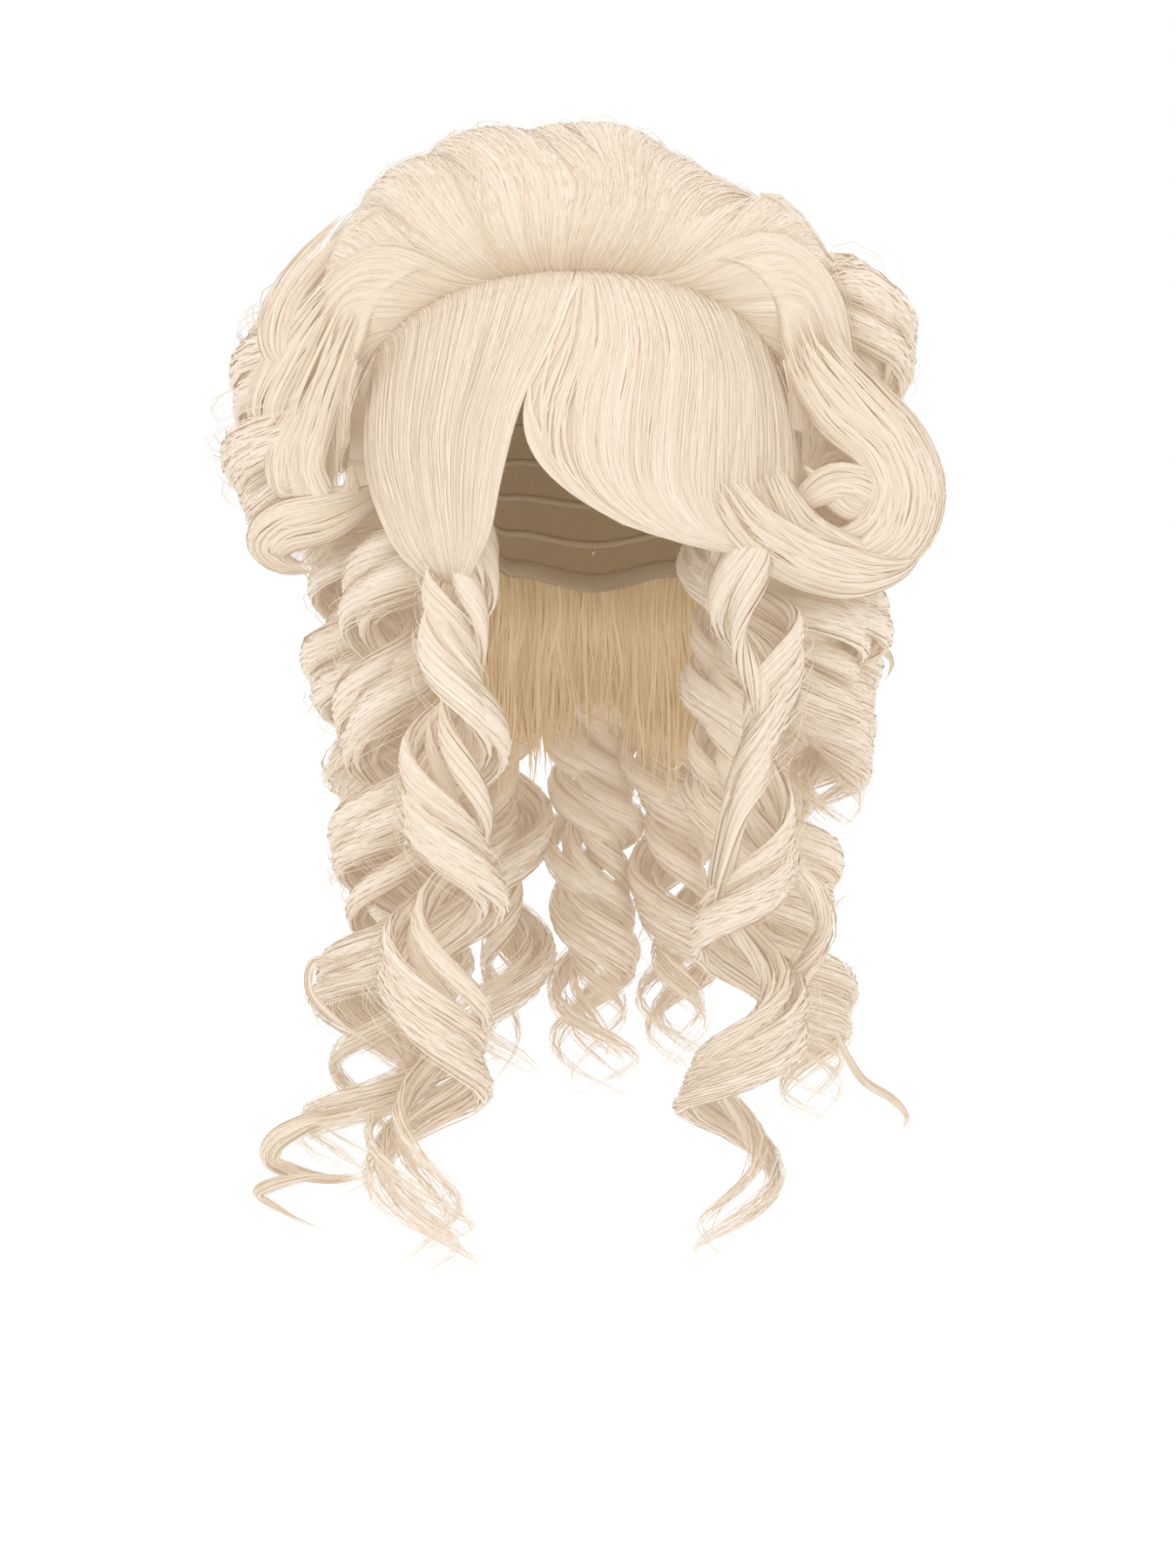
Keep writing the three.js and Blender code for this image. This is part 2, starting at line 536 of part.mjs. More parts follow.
// The ringlets. Each hangs about a line through four places. coil holds its radius, as shares of the coil radius
// at even steps from root to tip, and band its width as a share of the band's. wind is above 1 where the turns crowd
// towards the tip.
const ringlets = {
  curl_left_high: {
    root: [-0.622, 0.12, -0.054], shoulder: [-0.811, 0.027, 0.017],
    middle: [-0.85, -0.027, 0.15], tip: [-0.783, -0.013, 0.292],
    coil: [0.7, 0.95, 1.05, 0.95, 0.7], turns: 3, wind: 1, start: 0.1, hand: 1, band: 1.08,
  },
  curl_right_high: {
    root: [0.556, 0.2, 0.017], shoulder: [0.711, 0.107, 0],
    middle: [0.744, 0.04, 0.075], tip: [0.733, 0, 0.163],
    coil: [0.5, 0.6, 0.65, 0.5], turns: 1.8, wind: 1, start: 0, hand: -1, band: 1.05,
  },
  curl_right_barrel: {
    root: [0.622, 0.227, 0.204], shoulder: [0.7, 0.08, 0.217],
    middle: [0.722, -0.08, 0.223], tip: [0.711, -0.307, 0.223],
    coil: [1, 1.2, 1.25, 1.1], turns: 1.7, wind: 1, start: 0.25, hand: 1, band: 1,
  },
  ringlet_left_outer: {
    root: [-0.567, 0.24, 0.179], shoulder: [-0.678, 0.147, 0.312],
    middle: [-0.678, 0.133, 0.427], tip: [-0.622, 0.107, 0.558],
    coil: [0.7, 0.78, 0.78, 0.6], turns: 3.1, wind: 1, start: 0, hand: 1, band: 0.95,
  },
  ringlet_left_long: {
    root: [-0.444, -0.08, 0.158], shoulder: [-0.556, -0.16, 0.344],
    middle: [-0.544, -0.307, 0.583], tip: [-0.667, -0.48, 0.921],
    coil: [0.7, 0.85, 0.9, 0.95, 1.1], turns: 7, wind: 1, start: 0, hand: 1, band: 1,
  },
  ringlet_left_front: {
    root: [-0.344, -0.333, 0.163], shoulder: [-0.367, -0.533, 0.323],
    middle: [-0.4, -0.64, 0.604], tip: [-0.478, -0.693, 0.996],
    coil: [0.3, 0.4, 0.75, 0.95, 0.9], turns: 6, wind: 1.2, start: 0, hand: -1, band: 0.95,
  },
  ringlet_left_back: {
    root: [-0.389, 0.52, 0.25], shoulder: [-0.489, 0.613, 0.396],
    middle: [-0.517, 0.573, 0.625], tip: [-0.556, 0.44, 0.875],
    coil: [0.7, 0.88, 0.9, 0.85], turns: 5.6, wind: 1, start: 0, hand: 1, band: 0.95,
  },
  ringlet_right_middle: {
    root: [0.6, 0.013, 0.271], shoulder: [0.622, -0.04, 0.325],
    middle: [0.628, -0.067, 0.392], tip: [0.622, -0.04, 0.475],
    coil: [0.8, 0.9, 0.85, 0.7], turns: 2.2, wind: 1, start: 0, hand: -1, band: 1,
  },
  ringlet_right_outer: {
    root: [0.511, 0.333, 0.196], shoulder: [0.667, 0.307, 0.312],
    middle: [0.7, 0.293, 0.438], tip: [0.689, 0.253, 0.579],
    coil: [0.7, 0.8, 0.8, 0.65], turns: 3.4, wind: 1, start: 0.3, hand: -1, band: 0.95,
  },
  ringlet_right_inner: {
    root: [0.367, -0.04, 0.192], shoulder: [0.394, -0.093, 0.344],
    middle: [0.389, -0.133, 0.479], tip: [0.367, -0.16, 0.625],
    coil: [0.5, 0.55, 0.55, 0.45], turns: 3.4, wind: 1, start: 0, hand: -1, band: 0.8,
  },
  ringlet_right_front: {
    root: [0.344, -0.333, 0.163], shoulder: [0.433, -0.56, 0.354],
    middle: [0.4, -0.66, 0.625], tip: [0.344, -0.707, 0.975],
    coil: [0.5, 0.65, 0.4, 0.6, 1.05, 0.6], turns: 5.8, wind: 1.25, start: 0, hand: 1, band: 0.95,
  },
  strand_right: {
    root: [0.483, -0.653, 0.548], shoulder: [0.617, -0.573, 0.633],
    middle: [0.511, -0.48, 0.729], tip: [0.722, -0.413, 0.762],
    coil: [0.05, 0.05], turns: 1, wind: 1, start: 0, hand: 1, band: 0.38,
  },
  ringlet_right_back: {
    root: [0.389, 0.533, 0.254], shoulder: [0.5, 0.633, 0.396],
    middle: [0.556, 0.6, 0.646], tip: [0.678, 0.427, 0.917],
    coil: [0.7, 0.88, 0.9, 0.85], turns: 6, wind: 1, start: 0, hand: -1, band: 0.95,
  },
  ringlet_back_left: {
    root: [-0.222, 0.667, 0.279], shoulder: [-0.256, 0.8, 0.417],
    middle: [-0.261, 0.813, 0.625], tip: [-0.267, 0.76, 0.896],
    coil: [0.7, 0.76, 0.76, 0.74], turns: 5.6, wind: 1, start: 0, hand: 1, band: 0.95,
  },
  ringlet_back_middle: {
    root: [0, 0.693, 0.279], shoulder: [0, 0.867, 0.417],
    middle: [0, 0.893, 0.625], tip: [0, 0.84, 0.929],
    coil: [0.7, 0.76, 0.76, 0.74], turns: 6, wind: 1, start: 0.2, hand: -1, band: 0.95,
  },
  ringlet_back_right: {
    root: [0.222, 0.667, 0.279], shoulder: [0.25, 0.8, 0.417],
    middle: [0.261, 0.813, 0.625], tip: [0.278, 0.747, 0.883],
    coil: [0.7, 0.76, 0.76, 0.74], turns: 5.6, wind: 1, start: 0.4, hand: -1, band: 0.95,
  },
};

function ringlet(row) {
  const perTurn = 7;
  const count = Math.round(row.turns * perTurn) + 4;
  const line = new THREE.CatmullRomCurve3([row.root, row.shoulder, row.middle, row.tip].map(placeOf));
  const swell = row.coil.map((share) => ({ share }));
  const stations = [];
  const start = line.getPoint(0);
  let across = new THREE.Vector3(start.x, start.y, 0).normalize();
  for (let n = 0; n <= count; n++) {
    const share = n / count;
    const run = line.getTangent(share);
    across = across.addScaledVector(run, -across.dot(run)).normalize();
    const other = run.clone().cross(across);
    const radius = coilRadius * column(swell, "share", share) * ramp(share, 0, 1 / row.turns / 1.5);
    const turn = row.hand * 2 * Math.PI * (row.start + row.turns * share ** row.wind);
    const away = across.clone().multiplyScalar(Math.cos(turn)).addScaledVector(other, Math.sin(turn));
    const place = line.getPoint(share).addScaledVector(away, radius);
    const facing = across.clone().lerp(away, ramp(share, 0, 0.1));
    const taper = mix(0.5, 1, ramp(share, 0, 0.12)) * mix(1, 0.25, ramp(share, 0.82, 1));
    stations.push({
      place,
      facing,
      halfWidth: (bandWidth / 2) * row.band * taper,
      halfThickness: (bandThickness / 2) * mix(1, 0.4, ramp(share, 0.85, 1)),
    });
  }
  return band(stations, lens);
}

const hairTone = new THREE.Color(0xf0dfc4);
const innerTone = new THREE.Color(0xdcc08e);
const netTone = new THREE.Color(0xe6d6ba);

const wig = new THREE.Group();
const placed = [];

// Adds a piece, cut back from the pieces already there so that a small gap stays between them.
function add(name, solid, tone) {
  let kept = solid;
  for (const other of placed) {
    if (solid.minGap(other.piece, seatGap) < 0.9 * seatGap) kept = kept.subtract(other.room);
  }
  const bodies = kept.simplify(seatGap / 5).decompose();
  bodies.sort((a, b) => b.volume() - a.volume());
  const piece = bodies[0];
  const material = new THREE.MeshStandardMaterial({ color: tone, roughness: 0.5, metalness: 0 });
  const mesh = new THREE.Mesh(geometryOf(piece), material);
  mesh.name = name;
  wig.add(mesh);
  placed.push({ piece, room: grown(piece, seatGap).add(piece) });
}

add("cap", capSolid(), netTone);
crownLocks.forEach((row, n) => add(`crown_lock_${n + 1}`, crownLock(row), hairTone));
add("fringe_left", fringeHalf(fringeLeftRows, -1), hairTone);
add("fringe_right", fringeHalf(fringeRightRows, 1), hairTone);
for (const [name, row] of Object.entries(sweeps)) add(name, sweep(row), hairTone);
add("inner_fall", innerFall(), innerTone);
for (const [name, row] of Object.entries(ringlets)) add(name, ringlet(row), hairTone);

export default wig;
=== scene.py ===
import math
from functools import partial

import bpy
import numpy as np
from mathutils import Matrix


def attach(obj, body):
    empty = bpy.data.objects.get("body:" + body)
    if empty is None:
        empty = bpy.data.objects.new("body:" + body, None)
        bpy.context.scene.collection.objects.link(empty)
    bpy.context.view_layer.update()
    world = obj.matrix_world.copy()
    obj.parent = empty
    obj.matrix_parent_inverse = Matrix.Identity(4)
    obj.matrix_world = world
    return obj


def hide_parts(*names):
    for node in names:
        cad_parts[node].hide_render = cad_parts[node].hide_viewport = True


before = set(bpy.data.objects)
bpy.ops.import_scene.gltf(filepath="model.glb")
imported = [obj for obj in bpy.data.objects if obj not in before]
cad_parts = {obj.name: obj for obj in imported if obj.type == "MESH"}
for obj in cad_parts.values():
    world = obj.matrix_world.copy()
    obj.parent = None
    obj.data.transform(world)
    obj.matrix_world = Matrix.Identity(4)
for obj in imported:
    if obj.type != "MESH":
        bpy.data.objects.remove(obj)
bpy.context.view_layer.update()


# The cap: a close net, knitted in one piece and open at the front and at the nape. All the hair is sewn to
# it in rows of weft that run round its back, and a folded tape is stitched over its edge.
head_half_width = 0.074
head_half_depth = 0.096
crown_to_ear = 0.092
ear_to_chin = 0.140
cap_wall = 0.002
cap_edge = [(0, 0.046), (30, 0.0505), (60, 0.076), (82, 0.114), (115, 0.114), (150, 0.1508), (180, 0.160)]
weft_rows = [(0.9, 80), (0.81, 84), (0.72, 88), (0.63, 92), (0.54, 96), (0.45, 102), (0.36, 110)]
edge_tape_width = 0.007
weft_width = 0.0026
cap_slope = 0.17
cap_round = 0.09


def ramp(t, a, b):
    share = np.clip((t - a) / (b - a), 0, 1)
    return share * share * (3 - 2 * share)


def unit(v):
    return v / np.maximum(np.linalg.norm(v, axis=-1, keepdims=True), 1e-12)


def points_of(x, y, z):
    return np.stack(np.broadcast_arrays(x, y, z), axis=-1).astype(float)


def cap_edge_drop(bearing):
    off = np.abs((bearing + 180) % 360 - 180)
    drop = np.full(np.shape(off), cap_edge[0][1], float)
    for (a, high), (b, low) in zip(cap_edge, cap_edge[1:]):
        drop = np.where(off > a, high + (low - high) * ramp(off, a, b), drop)
    return drop


def oval_radius(bearing, half_width, half_depth):
    turn = np.radians(bearing)
    return 1 / np.hypot(np.sin(turn) / half_width, np.cos(turn) / half_depth)


def level_radius(bearing, z, off):
    above = z + crown_to_ear
    share = np.sqrt(1 - (above / np.where(above > 0, crown_to_ear, ear_to_chin)) ** 2)
    return share * oval_radius(bearing, head_half_width + off, head_half_depth + off)


def off_head(direction, off):
    height = np.where(direction[..., 2] > 0, crown_to_ear, ear_to_chin) + off
    sizes = points_of(head_half_width + off, head_half_depth + off, height)
    reach = np.linalg.norm(direction / sizes, axis=-1, keepdims=True)
    return direction / reach - [0, 0, crown_to_ear]


def on_cap(bearing, share, off):
    drop = cap_edge_drop(bearing)
    tilt = share * np.arctan2(level_radius(bearing, -drop, 0), crown_to_ear - drop)
    turn = np.radians(bearing)
    flat = np.sin(tilt)
    return off_head(points_of(flat * np.sin(turn), -flat * np.cos(turn), np.cos(tilt)), off)


def smooth_facings(points, quads):
    corner = points[quads]
    across = np.cross(corner[:, 2] - corner[:, 0], corner[:, 3] - corner[:, 1])
    facings = np.zeros_like(points)
    for n in range(4):
        np.add.at(facings, quads[:, n], across)
    return unit(facings)


def lengths(grid, axis):
    """How far along a grid of points each one lies, measured along rows or columns."""
    steps = np.linalg.norm(np.diff(grid, axis=axis), axis=-1)
    start = np.zeros_like(steps.take([0], axis))
    return np.concatenate([start, np.cumsum(steps, axis)], axis)


def grain_of(grid):
    return np.stack([lengths(grid, 1), lengths(grid, 0)], -1)


def slab(outer, inner, grain, shade_level):
    """A closed skin between an outer and an inner grid. grain says how far across and along points lie."""
    rows, columns = outer.shape[:2]
    face = np.arange(rows * columns).reshape(rows, columns)
    back = face + rows * columns
    pick = [
        (face[:-1, :-1], face[:-1, 1:], face[1:, 1:], face[1:, :-1]),
        (back[:-1, :-1], back[1:, :-1], back[1:, 1:], back[:-1, 1:]),
        (face[:-1, 0], face[1:, 0], back[1:, 0], back[:-1, 0]),
        (face[:-1, -1], back[:-1, -1], back[1:, -1], face[1:, -1]),
        (face[0, :-1], back[0, :-1], back[0, 1:], face[0, 1:]),
        (face[-1, :-1], face[-1, 1:], back[-1, 1:], back[-1, :-1]),
    ]
    quads = np.concatenate([np.stack([side.ravel() for side in sides], -1) for sides in pick])
    points = np.concatenate([outer.reshape(-1, 3), inner.reshape(-1, 3)])
    middle = (rows // 2) * columns + columns // 2
    facings = smooth_facings(points, quads)
    if np.dot(facings[middle], points[middle] - points[middle + rows * columns]) < 0:
        quads = quads[:, ::-1]
        facings = -facings
    strand = np.concatenate([grain.reshape(-1, 2)] * 2)
    # Every point of the skin takes one painted shade, so the bodies under the wisps read darker.
    tone = np.stack([np.full(len(points), 0.5), np.broadcast_to(shade_level, len(points))], -1)
    return {"points": points, "quads": quads, "facings": facings, "strand": strand, "tone": tone}


def sewn_piece(name, layers, material, slot, *nodes):
    """One mesh out of layers, which takes the place of the solids named and moves with the wig."""
    starts = np.cumsum([0] + [len(layer["points"]) for layer in layers])
    quads = np.concatenate([layer["quads"] + start for layer, start in zip(layers, starts)])
    points, facings, strand, tone = (
        np.concatenate([layer[key] for layer in layers]) for key in ("points", "facings", "strand", "tone")
    )
    mesh = bpy.data.meshes.new(name)
    mesh.vertices.add(len(points))
    mesh.vertices.foreach_set("co", points.astype(np.float32).ravel())
    mesh.loops.add(quads.size)
    mesh.loops.foreach_set("vertex_index", quads.astype(np.int32).ravel())
    mesh.polygons.add(len(quads))
    mesh.polygons.foreach_set("loop_start", np.arange(0, quads.size, 4, dtype=np.int32))
    for key, values in (("strand", strand), ("tone", tone)):
        layer = mesh.uv_layers.new(name=key)
        layer.uv.foreach_set("vector", values[quads.ravel()].astype(np.float32).ravel())
    mesh.update(calc_edges=True)
    mesh.polygons.foreach_set("use_smooth", np.ones(len(quads), bool))
    mesh.normals_split_custom_set_from_vertices(facings.astype(np.float32))
    mesh.materials.append(material)
    piece = bpy.data.objects.new(name, mesh)
    bpy.context.collection.objects.link(piece)
    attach(piece, "root")
    if nodes:
        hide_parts(*nodes)


def feed(tree, node, values):
    """Gives each input of a node its value, or the output of another node."""
    for key, value in values.items():
        if isinstance(value, bpy.types.NodeSocket):
            tree.links.new(value, node.inputs[key])
        else:
            node.inputs[key].default_value = value


def add_node(tree, kind, values, **settings):
    """A new node with its settings and inputs. It hands back the node's outputs."""
    node = tree.nodes.new("ShaderNode" + kind)
    for key, value in settings.items():
        setattr(node, key, value)
    feed(tree, node, values)
    return node.outputs


def new_group(name, given, results):
    """A node group with the inputs given, None for a place, and a number for each result."""
    group = bpy.data.node_groups.new(name, "ShaderNodeTree")
    for label, value in given.items():
        if value is None:
            group.interface.new_socket(label, in_out="INPUT", socket_type="NodeSocketVector")
        else:
            socket = group.interface.new_socket(label, in_out="INPUT", socket_type="NodeSocketFloat")
            socket.default_value = value
    for label in results:
        group.interface.new_socket(label, in_out="OUTPUT", socket_type="NodeSocketFloat")
    return group, group.nodes.new("NodeGroupInput").outputs, group.nodes.new("NodeGroupOutput").inputs


def new_finish(name, values):
    """A material and its shader, with the values that are the same all over it."""
    material = bpy.data.materials.new(name)
    material.use_nodes = True
    shader = material.node_tree.nodes["Principled BSDF"]
    feed(material.node_tree, shader, values)
    return material, material.node_tree, shader


def knit_group():
    """Fine diamond net: Lie is metres across and along, Thread is 1 on the threads."""
    group, given, result = new_group("fine knit", {"Lie": None, "Holes per metre": 700}, ("Thread", "Height"))
    scaled = {0: given["Lie"], "Scale": given["Holes per metre"]}
    spread = add_node(group, "VectorMath", scaled, operation="SCALE")
    apart = add_node(group, "SeparateXYZ", {0: spread[0]})
    waves = []
    for sign in ("ADD", "SUBTRACT"):
        slant = add_node(group, "Math", {0: apart[0], 1: apart[1]}, operation=sign)
        waves.append(add_node(group, "Math", {0: slant[0], 1: 0.5}, operation="PINGPONG")[0])
    least = add_node(group, "Math", {0: waves[0], 1: waves[1]}, operation="MINIMUM")
    thread = add_node(group, "MapRange", {"Value": least[0], "From Min": 0.22, "From Max": 0.1})
    group.links.new(thread[0], result["Thread"])
    group.links.new(thread[0], result["Height"])
    return group


fine_knit = knit_group()


def net_finish(name, thread_colour, gap_colour, holes):
    material, tree, shader = new_finish(name, {"Roughness": 0.8, "Sheen Weight": 0.3})
    lie = add_node(tree, "UVMap", {}, uv_map="strand")
    knit = add_node(tree, "Group", {"Holes per metre": holes, "Lie": lie[0]}, node_tree=fine_knit)
    tints = {"A": (*gap_colour, 1), "B": (*thread_colour, 1), "Factor": knit["Thread"]}
    colour = add_node(tree, "Mix", tints, data_type="RGBA")
    bump = add_node(tree, "Bump", {"Strength": 0.7, "Distance": 0.0004, "Height": knit["Height"]})
    feed(tree, shader, {"Base Color": colour["Result"], "Normal": bump[0]})
    return material


cap_net = net_finish("cap net", (0.74, 0.6, 0.42), (0.5, 0.37, 0.22), 620)
bearing, share = np.meshgrid(np.linspace(-180, 180, 97), np.linspace(0.002, 1, 25))
cap_outside = on_cap(bearing, share, cap_wall * 0.8)
cap_inside = on_cap(bearing, share, cap_wall * 0.3)
cap_grain = np.stack([np.radians(bearing) * cap_round, lengths(cap_outside, 0)], -1)
sewn_piece("cap", [slab(cap_outside, cap_inside, cap_grain, 0.5)], cap_net, "cap_net", "cap")

tape_net = net_finish("cap tape", (0.8, 0.68, 0.5), (0.66, 0.52, 0.35), 1400)
rows = [(0.985, -180, 180, edge_tape_width, 0.0011)]
rows += [(share, 180 - half, 180 + half, weft_width, 0.0009) for share, half in weft_rows]
tapes = []
for drop_share, first, last, width, stand in rows:
    turn = np.linspace(first, last, 97)[None, :]
    down = np.minimum(drop_share + np.linspace(-0.5, 0.5, 5)[:, None] * width / cap_slope, 1.002)
    arch = 1 - np.linspace(-1, 1, 5)[:, None] ** 2
    lower = on_cap(turn, down, cap_wall * 0.3 - stand * (0.35 + 0.65 * arch))
    upper = on_cap(turn, down, cap_wall * 0.35)
    tapes.append(slab(lower, upper, grain_of(lower), 0.5))
sewn_piece("cap_tapes", tapes, tape_net, "cap_net")


# The crown: nine long locks of fine synthetic hair, sewn on behind an arched parting and combed back over a
# padded cap. They leave the parting close together, spread like a fan, and turn down at the sides and at
# the nape.
crown_height = 0.170
crown_half_width = 0.142
crown_back_reach = 0.130
crown_offset = -0.010
crown_squareness = 2.5
crown_tuck = 0.18
lobe_depth = 0.006
crown_settle = 0.0065
crown_ends = 0.25
seat_gap = 0.0003
# The hair glows in its own colour: a painted glow that stands in for light scattered through the hair and
# lifts its shade.
painted_glow = 0.16
wisps_across_crown = 1000
crown_back = [-0.29, -0.32, -0.3, -0.2, 0, 0.27, 0.58, 0.83, 0.96, 1, 0.98, 0.92, 0.84]
crown_up = [0.565, 0.66, 0.776, 0.885, 0.968, 1, 0.94, 0.75, 0.482, 0.218, -0.02, -0.19, -0.3]
crown_spread = [0.74, 0.81, 0.88, 0.94, 0.98, 1, 1, 0.97, 0.92, 0.85, 0.77, 0.69, 0.61]
crown_root_back = [-0.12, -0.08, -0.03, 0.03, 0.09, 0.16, 0.23, 0.3, 0.37, 0.43, 0.48, 0.52, 0.55]
crown_root_up = [0.19, 0.15, 0.1, 0.05, 0, -0.04, -0.07, -0.1, -0.12, -0.14, -0.16, -0.18, -0.19]
crown_seams = [-1, -0.75, -0.53, -0.3, -0.04, 0.2, 0.43, 0.65, 0.8, 1]
crown_stand = [0, 0.8, 1.1, 1.3, 0.8, -0.9, 0.1, -0.3, 0]


def drawn(values, share):
    """A smooth line through evenly spaced values, read at a share of the way along."""
    values = np.asarray(values, float)
    at = np.clip(share, 0, 1) * (len(values) - 1)
    row = np.minimum(np.floor(at).astype(int), len(values) - 2)
    t = at - row
    p, a, b, q = (values[np.clip(row + n, 0, len(values) - 1)] for n in (-1, 0, 1, 2))
    leave, arrive = (b - p) / 2, (q - a) / 2
    return a + t * (leave + t * (3 * (b - a) - 2 * leave - arrive + t * (2 * (a - b) + leave + arrive)))


def on_crown(along, side, lift=0.0):
    """A place on the crown. along runs from the parting to the nape, side is the degrees across it."""
    along, side = np.broadcast_arrays(np.asarray(along, float), np.asarray(side, float))
    angle = np.radians(side)
    power = 2 / (2 + (crown_squareness - 2) * ramp(along, 0, 0.25))
    across = np.sign(angle) * np.abs(np.sin(angle)) ** power
    upright = np.maximum(np.cos(angle), 0) ** power
    tuck = 1 - crown_tuck * (1 - upright) ** 2 * ramp(along, 0.05, 0.4)
    root_back, root_up = drawn(crown_root_back, along), drawn(crown_root_up, along)
    wide = across * tuck * drawn(crown_spread, along) * crown_half_width
    ray = points_of(
        crown_offset * (1 - ramp(along, 0.5, 1)) + wide,
        (root_back + (drawn(crown_back, along) - root_back) * upright) * crown_back_reach,
        (root_up + (drawn(crown_up, along) - root_up) * upright) * crown_height,
    )
    far = np.linalg.norm(ray, axis=-1, keepdims=True)
    return ray * (1 + np.asarray(lift)[..., None] / far) - [0, 0, crown_to_ear]


def crown_flow(label, share):
    """Where a strand runs. label tells strands apart from left to right, share how far along it is."""
    far = np.abs(label)
    steep = np.where(far < 0.5, 1.5 * label, np.sign(label) * (1 - 0.5 * far))
    back = np.where(far < 0.5, 1, 1 - (far - 0.5) / 0.5 * 0.97)
    sway = 7 * np.sin(7 * share * back + 5 * label + 1.2) * ramp(share, 0, 0.25) * (1 - ramp(far, 0.35, 0.8))
    return back * share, 87 * (0.5 * label + steep * share) + sway * (1 - share)


def crown_relief(label, along):
    """How far each lock stands out, with a soft dip at every seam and low swells where it was backcombed."""
    middles = (np.array(crown_seams[1:]) + crown_seams[:-1]) / 2
    lobe = np.interp(label, middles, crown_stand)
    for seam in crown_seams[1:-1]:
        lobe = lobe - 0.55 * np.exp(-((label - seam) / 0.04) ** 2)
    lobe = lobe + 0.35 * np.sin(17 * label + 5 * along + 1) * np.sin(9 * along + 3 * label)
    settled = ramp(along, 0.12, 0.4) * (1 - ramp(along, 0.6, 0.85)) * (1 - ramp(np.abs(label), 0.4, 0.8))
    return (lobe - 0.15) * lobe_depth * ramp(along, 0.04, 0.35) - crown_settle * settled


def crown_lie(label, share):
    """Where the crown's strands lie and face. Past a share of 1 they hang on beyond its lower edge."""
    label = np.clip(label, -1, 1)

    def place(label, share):
        along, side = crown_flow(label, share)
        return on_crown(along, side, crown_relief(label, along))

    past = np.maximum(share - 1, 0) * ramp(1 - np.abs(label), 0.1, 0.4)
    share = np.clip(share, 0, 1)
    here = place(label, share)
    run = place(label, np.clip(share + 0.01, 0, 1)) - place(label, np.clip(share - 0.01, 0, 1))
    here = here + (0.6 * unit(run) - [0, 0, 0.5]) * (crown_ends * past)[..., None]
    side = place(np.clip(label + 0.01, -1, 1), share) - place(np.clip(label - 0.01, -1, 1), share)
    return here, unit(np.cross(side, run))


def squared(facing, run):
    """A facing turned square to the way that the hair runs, and the way across both."""
    out = unit(facing - run * np.sum(facing * run, -1, keepdims=True))
    return out, np.cross(run, out)


def comb(lie, seed, count, steps, wide, lift, home, begin, end, stray, roll, frizz, shade_level,
         root_shade=0.0, clumps=9, tip=0.3, gather=0.0):
    """Flat tapered wisps of hair laid on lie(across, along). They are spread over home, start and end within
    begin and end, wander by stray, and stand up by lift. They gather in clumps that differ in lift, and their
    colour is painted shade: level gives the darkest and the lightest, the wisps that stand lower are painted
    darker, and root_shade paints them darker still near their roots."""
    rng = np.random.default_rng(seed)
    across = (home[0] + (home[1] - home[0]) * (np.arange(count) + rng.random(count)) / count)[:, None]
    first = rng.uniform(*begin, (count, 1))
    last = rng.uniform(*end, (count, 1))
    share = np.linspace(0, 1, steps + 1)[None, :]
    along = first + (last - first) * share
    phase = rng.uniform(0, 2 * np.pi, (4, count, 1))
    pace = rng.uniform(0.5, 1.6, (4, count, 1))
    swing = [np.sin(2 * np.pi * pace[n] * along + phase[n]) for n in range(4)]
    knot = (np.round(across * clumps + rng.normal(0, 0.25, (count, 1))) + 0.3 * swing[0][:, :1]) / clumps
    across = across + (knot - across) * gather * ramp(share, 0.15, 1)
    across = across + stray * (0.65 * swing[0] + 0.35 * swing[1])
    place, facing = lie(across, along)
    run = unit(np.gradient(place, axis=1))
    facing, side = squared(facing, run)
    bunch = [np.sin(2 * np.pi * clumps * n * across[:, :1] + rng.uniform(0, 6)) for n in (0.5, 1.13, 2.31)]
    clump = 0.5 + 0.22 * bunch[0] + 0.17 * bunch[1] + 0.11 * bunch[2]
    height = np.clip(0.55 * clump + 0.45 * rng.random((count, 1)), 0, 1)
    rise = lift[0] + (lift[1] - lift[0]) * height + 0 * share
    loose = frizz * (0.4 + 0.6 * share)
    place = place + facing * (rise + loose * swing[2] * 0.6)[..., None] + side * (loose * swing[3])[..., None]
    run = unit(np.gradient(place, axis=1))
    facing, side = squared(facing, run)
    turned = np.radians(rng.normal(0, roll, (count, 1, 1)))
    lean = side * np.cos(turned) + facing * np.sin(turned)
    up = facing * np.cos(turned) - side * np.sin(turned)
    narrow = np.clip(share / 0.08, 0.15, 1) ** 0.7 * np.clip((1 - share) / tip, 0.06, 1) ** 0.8
    full = wide[0] + (wide[1] - wide[0]) * rng.random((count, 1)) ** 1.7
    half = 0.5 * full * narrow
    edges = np.stack([place - lean * half[..., None], place + lean * half[..., None]], axis=2)
    facings = np.stack([up - lean * 0.3, up + lean * 0.3], axis=2)
    start = (np.arange(count) * (steps + 1) * 2)[:, None]
    row = start + np.arange(steps)[None, :] * 2
    quads = np.stack([row, row + 1, row + 3, row + 2], -1).reshape(-1, 4)
    shift = rng.uniform(0, 3, (count, 1))
    walked = lengths(place, 1) + rng.uniform(0, 3, (count, 1))
    strand = np.stack([np.stack([shift - half, walked], -1), np.stack([shift + half, walked], -1)], axis=2)
    light = shade_level[0] + (shade_level[1] - shade_level[0]) * height
    # Painted shade: darker near the roots.
    light = light - root_shade * (1 - ramp(lengths(place, 1), 0, 0.035))
    own = np.broadcast_to(rng.random((count, 1)), light.shape)
    tone = np.broadcast_to(np.stack([own, light], -1)[:, :, None, :], strand.shape)
    return {
        "points": edges.reshape(-1, 3),
        "quads": quads,
        "facings": unit(facings).reshape(-1, 3),
        "strand": strand.reshape(-1, 2),
        "tone": tone.reshape(-1, 2),
    }


